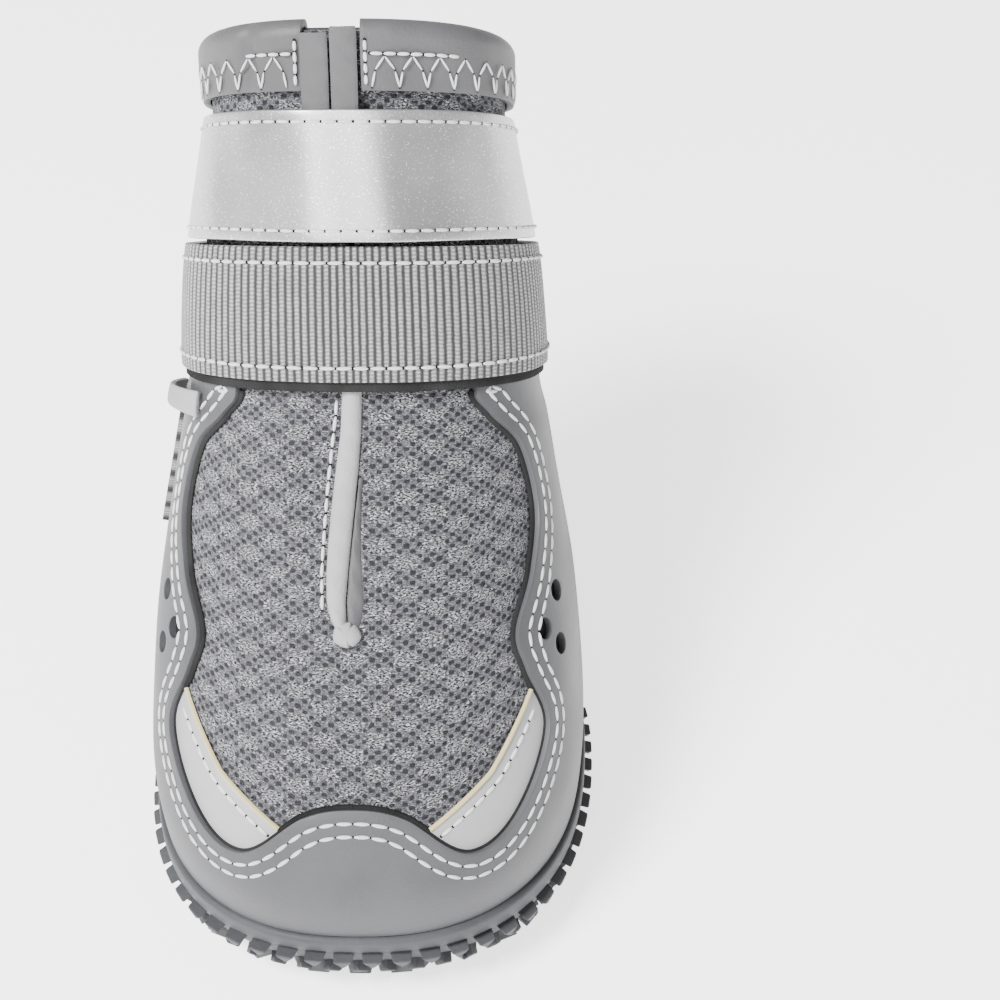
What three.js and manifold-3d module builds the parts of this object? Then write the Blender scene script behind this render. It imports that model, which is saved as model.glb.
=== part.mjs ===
// A dog boot: a hollow mesh upper with a smooth mudguard, on a moulded rubber cup sole, closed by two straps.
// Millimetres, +Z up. The toe points along -Y and the boot is the same on its left and on its right.
// The origin is under the middle of the boot's box, on the ground.

import * as THREE from "three";
import { mergeVertices } from "three/addons/utils/BufferGeometryUtils.js";
import Module from "manifold-3d";

const wasm = await Module();
wasm.setup();

// ---------------------------------------------------------------- driving sizes

const LENGTH = 84; // of the last, from toe to heel
const BALL_WIDTH = 69.6; // of the last, where it is widest
const INSTEP_HEIGHT = 64; // from the ground to the front of the instep
const COLLAR_HEIGHT = 132.5; // from the ground to the front of the collar

const WALL = 2; // thickness of the upper
const GAP = 0.35; // between curved pieces that meet

const TOE_POWER = 2.35; // how square the toe half of a section is: 2 is an ellipse
const HEEL_POWER = 2.08;

const SOLE = {
  halfLength: 44.4,
  halfWidth: 36.8,
  base: 2.4, // height of the tread's ground, where the lugs stand
  edgeRadius: 7.5,
  floor: 6.1, // inside the cup
  toeSpring: 3.2,
  springFrom: 20, // how far in front of the middle the toe starts to rise
  heelSpring: 0.8,
  heelSpringFrom: 32,
  rimStep: 0.6, // the rim band stands this far outside the wall under it
  rimBand: 5.4, // height of the rim band
  rimRound: 0.7,
};

const LUG = {
  pitchAcross: 6.6,
  pitchAlong: 7.9,
  height: 2.4,
  root: 0.9, // how far a lug reaches into the sole
  groove: 1.0, // at the foot of the lugs
  taper: 0.68, // size of a lug's top over its foot
  lastTilt: 62, // degrees: how far round the edge the lugs go
};

const PLATE = { length: 10.5, width: 23, corner: 2.4, middleY: 29.5, top: 1.5, thickness: 1.5, groove: 1.2 };

const INSOLE = { bottom: 6.6, thickness: 3, clearance: 0.6, round: 0.8 };

const MUDGUARD = { thickness: 1.2, top: 8.3, footGap: 0.035, hole: 3.6 }; // top and footGap are levels
const TRIM = { thickness: 1.2, outside: 8.7, inside: 6, top: 1.6 };
const BINDING = { slit: 1, width: 4, thickness: 1.2 };
const BAND = { thickness: 1.2, overBinding: 1.95, offset: 0.5 };
const WEBBING = { thickness: 1.7, overBinding: 1.95, offset: 1.95 };
const ANCHOR = { thickness: 1.5, offset: 1.95, top: 7.94 }; // top is a level
const LOOP = { thickness: 1.1 };
const EDGE_IN = 0.04; // how far, in levels, a strap's outer face stops short of its edges

// ---------------------------------------------------------------- the last

// One row for each section, from the feather edge up to the collar. front and back say where its two ends lie,
// as parts of the length from the middle of the boot; frontRise and backRise say how high they are, as parts of
// the instep's height up to the instep and of the collar's height above it; width is a part of the ball's width.
const LAST = [
  { name: "feather", front: -0.488, frontRise: 0.102, back: 0.488, backRise: 0.102, width: 0.966 },
  { name: "rim line", front: -0.498, frontRise: 0.25, back: 0.5, backRise: 0.234, width: 0.994 },
  { name: "bumper", front: -0.483, frontRise: 0.39, back: 0.5, backRise: 0.375, width: 1.0 },
  { name: "cap top", front: -0.395, frontRise: 0.561, back: 0.495, backRise: 0.516, width: 0.983 },
  { name: "low vamp", front: -0.292, frontRise: 0.697, back: 0.498, backRise: 0.617, width: 0.954 },
  { name: "slit end", front: -0.185, frontRise: 0.836, back: 0.512, backRise: 0.711, width: 0.914 },
  { name: "instep", front: -0.065, frontRise: 1.0, back: 0.543, backRise: 0.789, width: 0.868 },
  { name: "throat", front: 0.042, frontRise: 0.557, back: 0.587, backRise: 0.419, width: 0.822 },
  { name: "ankle", front: 0.137, frontRise: 0.63, back: 0.623, backRise: 0.43, width: 0.776 },
  { name: "strap line", front: 0.265, frontRise: 0.783, back: 0.706, backRise: 0.57, width: 0.724 },
  { name: "band top", front: 0.377, frontRise: 0.92, back: 0.783, backRise: 0.706, width: 0.667 },
  { name: "collar", front: 0.426, frontRise: 1.0, back: 0.818, backRise: 0.785, width: 0.672 },
];

const level = (name) => LAST.findIndex((row) => row.name === name);
const INSTEP = level("instep");
const COLLAR = level("collar");

// The same rows in millimetres, with one more row beyond each end, in line with the last two.
const rows = LAST.map((row, i) => {
  const height = i <= INSTEP ? INSTEP_HEIGHT : COLLAR_HEIGHT;
  return {
    frontY: row.front * LENGTH,
    frontZ: row.frontRise * height,
    backY: row.back * LENGTH,
    backZ: row.backRise * height,
    half: (row.width * BALL_WIDTH) / 2,
  };
});

function beyond(end, next) {
  return Object.fromEntries(Object.keys(end).map((key) => [key, 2 * end[key] - next[key]]));
}
const padded = [beyond(rows[0], rows[1]), ...rows, beyond(rows[COLLAR], rows[COLLAR - 1])];

const radians = THREE.MathUtils.degToRad;
const smoothstep = THREE.MathUtils.smoothstep;
const mix = THREE.MathUtils.lerp;

// A smooth curve through four neighbours, between the middle two.
function throughFour(a, b, c, d, t) {
  const slopeB = (c - a) / 2;
  const slopeC = (d - b) / 2;
  const t2 = t * t;
  const t3 = t2 * t;
  return (
    b * (2 * t3 - 3 * t2 + 1) + slopeB * (t3 - 2 * t2 + t) + c * (3 * t2 - 2 * t3) + slopeC * (t3 - t2)
  );
}

// The section at a level, where whole numbers are the rows of the table.
function sectionAt(lev) {
  const inside = THREE.MathUtils.clamp(lev, 0, COLLAR);
  const i = Math.min(Math.floor(inside), COLLAR - 1);
  const t = inside - i;
  const section = {};
  for (const key of Object.keys(rows[0])) {
    const [a, b, c, d] = [padded[i][key], padded[i + 1][key], padded[i + 2][key], padded[i + 3][key]];
    section[key] = throughFour(a, b, c, d, t);
    if (lev > COLLAR) section[key] += (lev - COLLAR) * (padded[COLLAR + 2][key] - padded[COLLAR + 1][key]);
    if (lev < 0) section[key] += lev * (padded[2][key] - padded[1][key]);
  }
  return section;
}

// Distance from the middle of a rounded outline to its edge, at an angle from the toe.
function outlineRadius(angle, halfLength, halfWidth) {
  const c = Math.cos(angle);
  const s = Math.sin(angle);
  const power = mix(HEEL_POWER, TOE_POWER, smoothstep(c, -0.5, 0.5));
  const sum = Math.abs(c / halfLength) ** power + Math.abs(s / halfWidth) ** power;
  return sum ** (-1 / power);
}

// How far the toe and the heel lift off the ground at a place along the boot.
function spring(y) {
  const toe = Math.max(0, -y - SOLE.springFrom) / (SOLE.halfLength - SOLE.springFrom);
  const heel = Math.max(0, y - SOLE.heelSpringFrom) / (SOLE.halfLength - SOLE.heelSpringFrom);
  return SOLE.toeSpring * toe * toe + SOLE.heelSpring * heel * heel;
}

// The last's surface. Its feather edge lifts with the sole at the toe and the heel.
function onLast(angle, lev) {
  const s = sectionAt(lev);
  const front = new THREE.Vector3(0, s.frontY, s.frontZ);
  const back = new THREE.Vector3(0, s.backY, s.backZ);
  const middle = front.clone().lerp(back, 0.5);
  const forward = front.clone().sub(back);
  const halfLength = forward.length() / 2;
  forward.normalize();
  const r = outlineRadius(angle, halfLength, s.half);
  const point = middle
    .addScaledVector(forward, r * Math.cos(angle))
    .add(new THREE.Vector3(r * Math.sin(angle), 0, 0));
  point.z += spring(point.y) * THREE.MathUtils.clamp(1 - lev, 0, 1);
  return point;
}

// A point at an angle (radians from the toe, positive to +X), a level, and a distance outside the last.
function last(angle, lev, offset = 0) {
  const step = 0.02;
  const around = onLast(angle + step, lev).sub(onLast(angle - step, lev));
  const up = onLast(angle, lev + step).sub(onLast(angle, lev - step));
  const outward = around.cross(up).normalize();
  return onLast(angle, lev).addScaledVector(outward, offset);
}

// How far up the table the rim of the cup sole reaches: high at the toe, lower at the sides.
function rimLevel(angle) {
  const c = Math.cos(angle);
  return c > 0 ? mix(0.72, 1.0, c * c) : mix(0.72, 0.9, c * c);
}

// ---------------------------------------------------------------- making solids

// A closed surface through loops of points, one loop after another. A ring's last loop joins its first, and an
// open run of loops is closed by a flat face at each end.
function loft(loops, ring) {
  const count = loops[0].length;
  const position = loops.flatMap((loop) => loop.flatMap((p) => [p.x, p.y, p.z]));
  const index = [];
  const joins = ring ? loops.length : loops.length - 1;
  for (let i = 0; i < joins; i++) {
    const next = (i + 1) % loops.length;
    for (let j = 0; j < count; j++) {
      const k = (j + 1) % count;
      const [a, b, c, d] = [i * count + j, i * count + k, next * count + k, next * count + j];
      index.push(a, b, c, a, c, d);
    }
  }
  if (!ring) {
    const end = (loops.length - 1) * count;
    const face = THREE.ShapeUtils.triangulateShape(flatten(loops[0]), []);
    const endFace = THREE.ShapeUtils.triangulateShape(flatten(loops[loops.length - 1]), []);
    for (const [a, b, c] of face) index.push(c, b, a);
    for (const [a, b, c] of endFace) index.push(end + a, end + b, end + c);
  }
  const geometry = new THREE.BufferGeometry();
  geometry.setAttribute("position", new THREE.Float32BufferAttribute(position, 3));
  geometry.setIndex(index);
  return closed(geometry);
}

// A loop's points in its own plane, turned so that they run anticlockwise.
function flatten(loop) {
  const normal = new THREE.Vector3();
  loop.forEach((p, i) => normal.add(p.clone().cross(loop[(i + 1) % loop.length])));
  normal.normalize();
  const u = loop[1].clone().sub(loop[0]).normalize();
  const v = normal.cross(u);
  return loop.map((p) => new THREE.Vector2(p.dot(u), p.dot(v)));
}

// Merges a geometry's points, drops faces that have shrunk to a line, and turns it the right way out.
function closed(geometry) {
  const bare = geometry.clone();
  bare.deleteAttribute("normal");
  bare.deleteAttribute("uv");
  const merged = mergeVertices(bare, 1e-4);
  const kept = [];
  const ids = merged.index.array;
  for (let i = 0; i < ids.length; i += 3) {
    const [a, b, c] = [ids[i], ids[i + 1], ids[i + 2]];
    if (a !== b && b !== c && c !== a) kept.push(a, b, c);
  }
  if (volume(merged.attributes.position, kept) < 0) kept.reverse();
  merged.setIndex(kept);
  return merged;
}

function volume(position, index) {
  const p = new THREE.Vector3();
  const q = new THREE.Vector3();
  const r = new THREE.Vector3();
  let sum = 0;
  for (let i = 0; i < index.length; i += 3) {
    p.fromBufferAttribute(position, index[i]);
    q.fromBufferAttribute(position, index[i + 1]);
    r.fromBufferAttribute(position, index[i + 2]);
    sum += p.dot(q.cross(r));
  }
  return sum;
}

function toSolid(geometry) {
  const { position } = geometry.attributes;
  const vertProperties = new Float32Array(position.array);
  const triVerts = new Uint32Array(geometry.index.array);
  return new wasm.Manifold(new wasm.Mesh({ numProp: 3, vertProperties, triVerts }));
}

function toGeometry(solid) {
  const mesh = solid.getMesh();
  const geometry = new THREE.BufferGeometry();
  geometry.setAttribute("position", new THREE.Float32BufferAttribute(mesh.vertProperties, 3));
  geometry.setIndex(Array.from(mesh.triVerts));
  return geometry;
}

// Whole numbers of steps from one value to another, ends included.
function steps(from, to, count) {
  return Array.from({ length: count + 1 }, (_, i) => mix(from, to, i / count));
}

// ---------------------------------------------------------------- outsole

const SOLE_SIDES = 40;

// A point on the tread's ground: walk a distance out from the middle, flat first and then up round the edge.
function onTread(angle, walk, outside = 0) {
  const edge = outlineRadius(angle, SOLE.halfLength, SOLE.halfWidth) - SOLE.rimStep;
  const flat = edge - SOLE.edgeRadius;
  const turn = THREE.MathUtils.clamp((walk - flat) / SOLE.edgeRadius, 0, Math.PI / 2);
  const reach = Math.min(walk, flat) + (SOLE.edgeRadius + outside) * Math.sin(turn);
  const rise = SOLE.base + SOLE.edgeRadius - (SOLE.edgeRadius + outside) * Math.cos(turn);
  const x = reach * Math.sin(angle);
  const y = -reach * Math.cos(angle);
  return { point: new THREE.Vector3(x, y, rise + spring(y)), turn, flat };
}

function outline(angle, inset, z) {
  const r = outlineRadius(angle, SOLE.halfLength, SOLE.halfWidth) - inset;
  return new THREE.Vector3(r * Math.sin(angle), -r * Math.cos(angle), z);
}

function cup() {
  const loops = steps(0, 2 * Math.PI, SOLE_SIDES).slice(0, -1).map((angle) => {
    const top = last(angle, rimLevel(angle), 0).z;
    const { flat } = onTread(angle, 0);
    const ground = [0, 0.5, 1].map((part) => onTread(angle, part * flat).point);
    const round = [30, 60, 90].map((turn) => onTread(angle, flat + SOLE.edgeRadius * radians(turn)).point);
    const bandFoot = Math.max(top - SOLE.rimBand, round[2].z + 0.2);
    const band = [
      outline(angle, SOLE.rimStep, bandFoot),
      outline(angle, 0, bandFoot + SOLE.rimStep),
      outline(angle, 0, top - SOLE.rimRound),
      outline(angle, SOLE.rimRound, top),
    ];
    const inside = steps(rimLevel(angle), 0, 2).map((lev) => last(angle, lev, GAP));
    const floor = [0.98, 0.6, 0].map((part) => {
      const p = inside[2].clone().multiplyScalar(part);
      return p.setZ(SOLE.floor + spring(p.y));
    });
    return [...ground, ...round, ...band, ...inside, ...floor];
  });
  return loft(loops, true);
}

// One tapered triangular lug, with its foot in the sole and its top level with the others.
function lug(corners) {
  const middle = corners.reduce((sum, c) => sum.add(c), new THREE.Vector2()).divideScalar(3);
  const ring = (outside, size) =>
    corners.map((corner) => {
      const p = corner.clone().sub(middle).multiplyScalar(size).add(middle);
      const angle = Math.atan2(p.x, -p.y);
      return onTread(angle, p.length(), outside).point;
    });
  return loft([ring(-LUG.root, 1), ring(LUG.height, LUG.taper)], false);
}

// Triangles in straight rows across the boot, pointing by turns to the toe and to the heel.
function lugCorners() {
  const all = [];
  const rowsEachWay = 8;
  const lugsEachWay = 9;
  for (let row = -rowsEachWay; row <= rowsEachWay; row++) {
    for (let i = -lugsEachWay * 2; i <= lugsEachWay * 2; i++) {
      const shift = row % 2 ? LUG.pitchAcross / 2 : 0;
      const x = (i * LUG.pitchAcross) / 2 + shift;
      const y = row * LUG.pitchAlong;
      const point = i % 2 ? 1 : -1;
      const half = LUG.pitchAcross / 2 - LUG.groove * 0.75;
      const long = LUG.pitchAlong / 2 - LUG.groove * 0.5;
      const tip = long - LUG.groove * 0.7;
      all.push([
        new THREE.Vector2(x - half, y - point * long),
        new THREE.Vector2(x + half, y - point * long),
        new THREE.Vector2(x, y + point * tip),
      ]);
    }
  }
  return all;
}

function onPlate(p, margin) {
  const dx = Math.abs(p.x) - PLATE.width / 2;
  const dy = Math.abs(p.y - PLATE.middleY) - PLATE.length / 2;
  return dx < margin && dy < margin;
}

function isKept(corners) {
  const middle = corners.reduce((sum, c) => sum.add(c), new THREE.Vector2()).divideScalar(3);
  const { turn } = onTread(Math.atan2(middle.x, -middle.y), middle.length());
  const clear = corners.every((corner) => !onPlate(corner, PLATE.groove));
  return clear && turn < radians(LUG.lastTilt);
}

function plateShape(grow) {
  const w = PLATE.width / 2 + grow;
  const l = PLATE.length / 2 + grow;
  const r = PLATE.corner + grow;
  const shape = new THREE.Shape();
  shape.moveTo(-w + r, -l);
  shape.lineTo(w - r, -l);
  shape.absarc(w - r, -l + r, r, -Math.PI / 2, 0);
  shape.lineTo(w, l - r);
  shape.absarc(w - r, l - r, r, 0, Math.PI / 2);
  shape.lineTo(-w + r, l);
  shape.absarc(-w + r, l - r, r, Math.PI / 2, Math.PI);
  shape.lineTo(-w, -l + r);
  shape.absarc(-w + r, -l + r, r, Math.PI, Math.PI * 1.5);
  return shape;
}

function plateBody(grow, bottom, height) {
  const options = { depth: height, bevelEnabled: false, curveSegments: 3 };
  const geometry = new THREE.ExtrudeGeometry(plateShape(grow), options);
  geometry.translate(0, PLATE.middleY, bottom);
  return closed(geometry);
}

function outsole() {
  const lugs = lugCorners().filter(isKept).map((corners) => toSolid(lug(corners)));
  const withLugs = wasm.Manifold.union([toSolid(cup()), ...lugs]);
  const pocket = plateBody(GAP, -1, PLATE.top + PLATE.thickness + GAP + 1);
  return toGeometry(withLugs.subtract(toSolid(pocket)));
}

const solePlate = () => plateBody(0, PLATE.top, PLATE.thickness);

// ---------------------------------------------------------------- insole and upper

const UPPER_SIDES = 40;
const SLIT_END = level("slit end") + 0.15;
const UPPER_LEVELS = [0, 1, 1.5, 2, 2.5, 3, 4, 5, 6, 7, 8, 9, 10, 11];

// A pad that lies on the cup's floor inside the upper's wall, with a rounded top edge.
function insole() {
  const top = INSOLE.bottom + INSOLE.thickness;
  const edge = [
    { height: INSOLE.bottom, inset: 0 },
    { height: top - INSOLE.round, inset: 0 },
    { height: top, inset: INSOLE.round },
  ];
  const loops = steps(0, 2 * Math.PI, 28).slice(0, -1).map((angle) => {
    const wall = last(angle, 0, -WALL);
    const reach = Math.hypot(wall.x, wall.y) - INSOLE.clearance;
    const at = (distance, height) => {
      const y = -distance * Math.cos(angle);
      return new THREE.Vector3(distance * Math.sin(angle), y, height + spring(y));
    };
    const rim = edge.map(({ height, inset }) => at(reach - inset, height));
    return [at(0, INSOLE.bottom), at(reach * 0.6, INSOLE.bottom), ...rim, at(reach * 0.6, top), at(0, top)];
  });
  return loft(loops, true);
}

// The cut down the front, from the collar to the end of the slit.
function slitCutter() {
  const loops = steps(SLIT_END, COLLAR + 0.6, 10).map((lev) =>
    [
      [-1, -1],
      [1, -1],
      [1, 1],
      [-1, 1],
    ].map(([side, out]) => {
      const p = last(0, lev, out * 5);
      return p.setX((side * BINDING.slit) / 2);
    }),
  );
  return loft(loops, false);
}

function upper() {
  const loops = steps(0, 2 * Math.PI, UPPER_SIDES).slice(0, -1).map((angle) => [
    ...UPPER_LEVELS.map((lev) => last(angle, lev, 0)),
    ...UPPER_LEVELS.toReversed().map((lev) => last(angle, lev, -WALL)),
  ]);
  return toGeometry(toSolid(loft(loops, true)).subtract(toSolid(slitCutter())));
}

// ---------------------------------------------------------------- mudguard

// The edge of the opening that the mudguard leaves over the instep, from the middle of the toe up its right-hand
// side: the angle from the toe and the level where each landmark lies, and the level of the point in the
// opening's middle line that is level with it.
const EDGE = [
  { name: "crest of the toe cap", angle: 0, level: 3.0, middle: 3.0 },
  { name: "shoulder of the cap", angle: 12, level: 2.86, middle: 3.1 },
  { name: "trough", angle: 26, level: 2.28, middle: 3.2 },
  { name: "corner", angle: 40, level: 2.47, middle: 3.3 },
  { name: "low bulge", angle: 53.5, level: 3.2, middle: 3.6 },
  { name: "over the bulge", angle: 49.5, level: 4.2, middle: 4.2 },
  { name: "pinch", angle: 48.5, level: 4.8, middle: 4.8 },
  { name: "under the high bulge", angle: 58, level: 5.4, middle: 5.4 },
  { name: "high bulge", angle: 64.5, level: 6.1, middle: 6.1 },
  { name: "over the high bulge", angle: 60.5, level: 7.0, middle: 7.0 },
  { name: "neck", angle: 48.5, level: 7.63, middle: 7.63 },
  { name: "under the strap", angle: 42.5, level: 7.95, middle: 7.95 },
  { name: "above the mudguard", angle: 36, level: 8.7, middle: 8.7 },
];

const VENTS = [
  { name: "front vent", angle: 58.5, level: 4.55 },
  { name: "high vent", angle: 67.5, level: 4.85 },
  { name: "low vent", angle: 65, level: 4.07 },
];

// The opening's edge as a smooth curve through its rows, with some points between one row and the next.
function edgeCurve(between) {
  const size = EDGE.length - 1;
  return steps(0, size, size * between).map((t) => {
    const i = Math.min(Math.floor(t), size - 1);
    const row = (n) => EDGE[THREE.MathUtils.clamp(n, 0, size)];
    const along = (key) => throughFour(row(i - 1)[key], row(i)[key], row(i + 1)[key], row(i + 2)[key], t - i);
    return { angle: radians(along("angle")), level: along("level"), middle: along("middle") };
  });
}

// Half of the opening as a thick solid that follows the last, a little past its middle line.
function openingCutter(side) {
  const past = radians(-1.5);
  const loops = edgeCurve(3).map((edge) => {
    const across = steps(0, 1, 7).map((part) => ({
      angle: side * mix(edge.angle, past, part),
      level: mix(edge.level, edge.middle, part),
    }));
    return [
      ...across.map((p) => last(p.angle, p.level, 5)),
      ...across.toReversed().map((p) => last(p.angle, p.level, -3)),
    ];
  });
  return toSolid(loft(loops, false));
}

function ventCutter(side, vent) {
  const angle = side * radians(vent.angle);
  const middle = last(angle, vent.level, 0);
  const outward = last(angle, vent.level, 1).sub(middle);
  const hole = new THREE.CylinderGeometry(MUDGUARD.hole / 2, MUDGUARD.hole / 2, 8, 12);
  hole.applyQuaternion(new THREE.Quaternion().setFromUnitVectors(new THREE.Vector3(0, 1, 0), outward));
  hole.translate(middle.x, middle.y, middle.z);
  return toSolid(closed(hole));
}

function mudguard() {
  const inner = GAP;
  const outer = GAP + MUDGUARD.thickness;
  const loops = steps(0, 2 * Math.PI, UPPER_SIDES).slice(0, -1).map((angle) => {
    const foot = rimLevel(angle) + MUDGUARD.footGap;
    const climb = [foot, ...UPPER_LEVELS.filter((lev) => lev > 1.1 && lev < MUDGUARD.top), MUDGUARD.top];
    return [
      ...climb.map((lev) => last(angle, lev, outer)),
      ...climb.toReversed().map((lev) => last(angle, lev, inner)),
    ];
  });
  const opening = [-1, 1].map(openingCutter);
  const holes = [-1, 1].flatMap((side) => VENTS.map((vent) => ventCutter(side, vent)));
  return toGeometry(toSolid(loft(loops, true)).subtract(wasm.Manifold.union([...opening, ...holes])));
}

// ---------------------------------------------------------------- collar trim and throat binding

// How many levels a length in millimetres up the shaft's side is, near a level.
function levelsFor(length, lev) {
  return length / onLast(Math.PI / 2, lev + 0.5).distanceTo(onLast(Math.PI / 2, lev - 0.5));
}

const TRIM_FROM = radians(14.5); // where the trim stops beside the binding

function collarTrim() {
  const inner = -WALL - GAP;
  const outer = GAP;
  const low = COLLAR - levelsFor(TRIM.outside, COLLAR - 0.5);
  const lowInside = COLLAR - levelsFor(TRIM.inside, COLLAR - 0.5);
  const top = COLLAR + levelsFor(GAP, COLLAR - 0.5);
  const crown = COLLAR + levelsFor(TRIM.top, COLLAR - 0.5);
  const fold = [
    { level: low, offset: outer },
    { level: low, offset: outer + TRIM.thickness },
    { level: COLLAR, offset: outer + TRIM.thickness },
    { level: crown, offset: outer },
    { level: crown, offset: inner },
    { level: COLLAR, offset: inner - TRIM.thickness },
    { level: lowInside, offset: inner - TRIM.thickness },
    { level: lowInside, offset: inner },
    { level: top, offset: inner },
    { level: top, offset: outer },
  ];
  const loops = steps(TRIM_FROM, 2 * Math.PI - TRIM_FROM, 34).map((angle) =>
    fold.map((p) => last(angle, p.level, p.offset)),
  );
  return loft(loops, false);
}

// The binding runs down one edge of the slit, round its end and up the other edge.
function throatBinding() {
  const reach = (BINDING.slit + BINDING.width) / 2;
  const highest = COLLAR + 0.25;
  const down = steps(highest, SLIT_END, 11).map((lev) => ({ lev, x: -reach }));
  const turn = steps(0, Math.PI, 6).slice(1, -1).map((a) => ({
    lev: SLIT_END - Math.sin(a) * levelsFor(reach, SLIT_END),
    x: -reach * Math.cos(a),
    turn: a,
  }));
  const up = down.toReversed().map(({ lev, x }) => ({ lev, x: -x }));
  const path = [...down.map((p) => ({ ...p, turn: 0 })), ...turn, ...up.map((p) => ({ ...p, turn: Math.PI }))];
  const half = BINDING.width / 2;
  const loops = path.map((p) => {
    const ring = [
      { side: -1, offset: GAP },
      { side: -1, offset: GAP + BINDING.thickness * 0.7 },
      { side: 0, offset: GAP + BINDING.thickness },
      { side: 1, offset: GAP + BINDING.thickness * 0.7 },
      { side: 1, offset: GAP },
    ];
    return ring.map(({ side, offset }) => {
      const x = p.x + side * half * Math.cos(p.turn);
      const lev = p.lev + side * levelsFor(half, p.lev) * Math.sin(p.turn);
      return nearFront(x, lev, offset);
    });
  });
  return loft(loops, false);
}

// A point on the front of the last at a distance across from its middle line.
function nearFront(x, lev, offset) {
  const s = sectionAt(lev);
  const halfLength = Math.hypot(s.frontY - s.backY, s.frontZ - s.backZ) / 2;
  return last(Math.asin(x / (halfLength + offset)), lev, offset);
}

// ---------------------------------------------------------------- straps

// A strap that goes once round and then lies over its own start. It starts at an angle and ends past it.
function wrap({ start, overlap, low, high, overBinding, offset, thickness, sides }) {
  const angles = steps(radians(start), radians(start + 360 + overlap), sides);
  const liftFrom = radians(start + 300);
  const liftTo = radians(start + 350);
  const loops = angles.map((angle) => {
    const lift = (thickness + GAP) * smoothstep(angle, liftFrom, liftTo);
    const fromFront = Math.acos(Math.cos(angle));
    const inner = mix(overBinding, offset, smoothstep(fromFront, radians(12), radians(50))) + lift;
    const outer = inner + thickness;
    return [
      last(angle, low, inner),
      last(angle, low + EDGE_IN, outer),
      last(angle, high - EDGE_IN, outer),
      last(angle, high, inner),
    ];
  });
  return loft(loops, false);
}

const STRAP_START = 205; // degrees from the front: just past the middle of the back

const strapUpper = () =>
  wrap({ start: STRAP_START, overlap: 18, low: 9.1, high: 10, ...BAND, sides: 42 });

const strapLower = () =>
  wrap({ start: STRAP_START, overlap: 24, low: 8.02, high: 8.99, ...WEBBING, sides: 44 });

// The start of the lower strap, sewn to the left side under it, with a slanted lower end.
function strapAnchor() {
  const loops = steps(radians(-128), radians(-98), 6).map((angle, i, all) => {
    const low = mix(5.3, 4.9, i / (all.length - 1));
    const inner = ANCHOR.offset;
    const outer = inner + ANCHOR.thickness;
    const levels = steps(low, ANCHOR.top, 4);
    return [
      ...levels.map((lev) => last(angle, lev, outer)),
      ...levels.toReversed().map((lev) => last(angle, lev, inner)),
    ];
  });
  return loft(loops, false);
}

// A small flat loop that stands under the lower strap at the left: a bowed strip with its ends on the mudguard.
function strapLoop() {
  const loops = steps(0, 1, 10).map((t) => {
    const angle = radians(mix(-86, -58, t));
    const bow = Math.sin(Math.PI * t) * 2.2;
    const inner = WEBBING.offset + bow;
    const outer = inner + LOOP.thickness;
    return [
      last(angle, 7.45, inner),
      last(angle, 7.45, outer),
      last(angle, 7.88, outer),
      last(angle, 7.88, inner),
    ];
  });
  return loft(loops, false);
}

// ---------------------------------------------------------------- the boot

const FINISH = {
  rubber: { color: 0x737576, roughness: 0.6 },
  plate: { color: 0xc3a541, roughness: 0.5 },
  foam: { color: 0x5a5a60, roughness: 0.95 },
  mesh: { color: 0xa8a8b4, roughness: 0.95 },
  overlay: { color: 0x929498, roughness: 0.55 },
  trim: { color: 0x8c8c90, roughness: 0.7 },
  binding: { color: 0xc8c8cb, roughness: 0.8 },
  reflective: { color: 0xc4c2c6, roughness: 0.35 },
  webbing: { color: 0x969393, roughness: 0.85 },
};

function piece(name, geometry, finish) {
  const material = new THREE.MeshStandardMaterial({ ...finish, metalness: 0 });
  const mesh = new THREE.Mesh(geometry, material);
  mesh.name = name;
  geometry.computeVertexNormals();
  return mesh;
}

const boot = new THREE.Group();
boot.add(
  piece("outsole", outsole(), FINISH.rubber),
  piece("sole_plate", solePlate(), FINISH.plate),
  piece("insole", insole(), FINISH.foam),
  piece("upper", upper(), FINISH.mesh),
  piece("mudguard", mudguard(), FINISH.overlay),
  piece("collar_trim", collarTrim(), FINISH.trim),
  piece("throat_binding", throatBinding(), FINISH.binding),
  piece("strap_upper", strapUpper(), FINISH.reflective),
  piece("strap_lower", strapLower(), FINISH.webbing),
  piece("strap_anchor", strapAnchor(), FINISH.webbing),
  piece("strap_loop", strapLoop(), FINISH.binding),
);

// The origin goes under the middle of the boot's box.
const box = new THREE.Box3().setFromObject(boot);
boot.position.y = -(box.min.y + box.max.y) / 2;

export default boot;
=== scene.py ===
# %% [markdown]
# # A dog boot
# The boot has a soft mesh upper, a smooth mudguard sewn over it, a moulded rubber cup sole and two wrap straps.
# The construction is packed already. This lesson rebuilds every soft piece as a fine mesh round the same last,
# gives it a finish, and lights it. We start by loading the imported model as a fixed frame.

# %% Load the frame
import math
import random
import bmesh
import bpy
import numpy as np
from mathutils import Matrix, Vector


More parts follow.
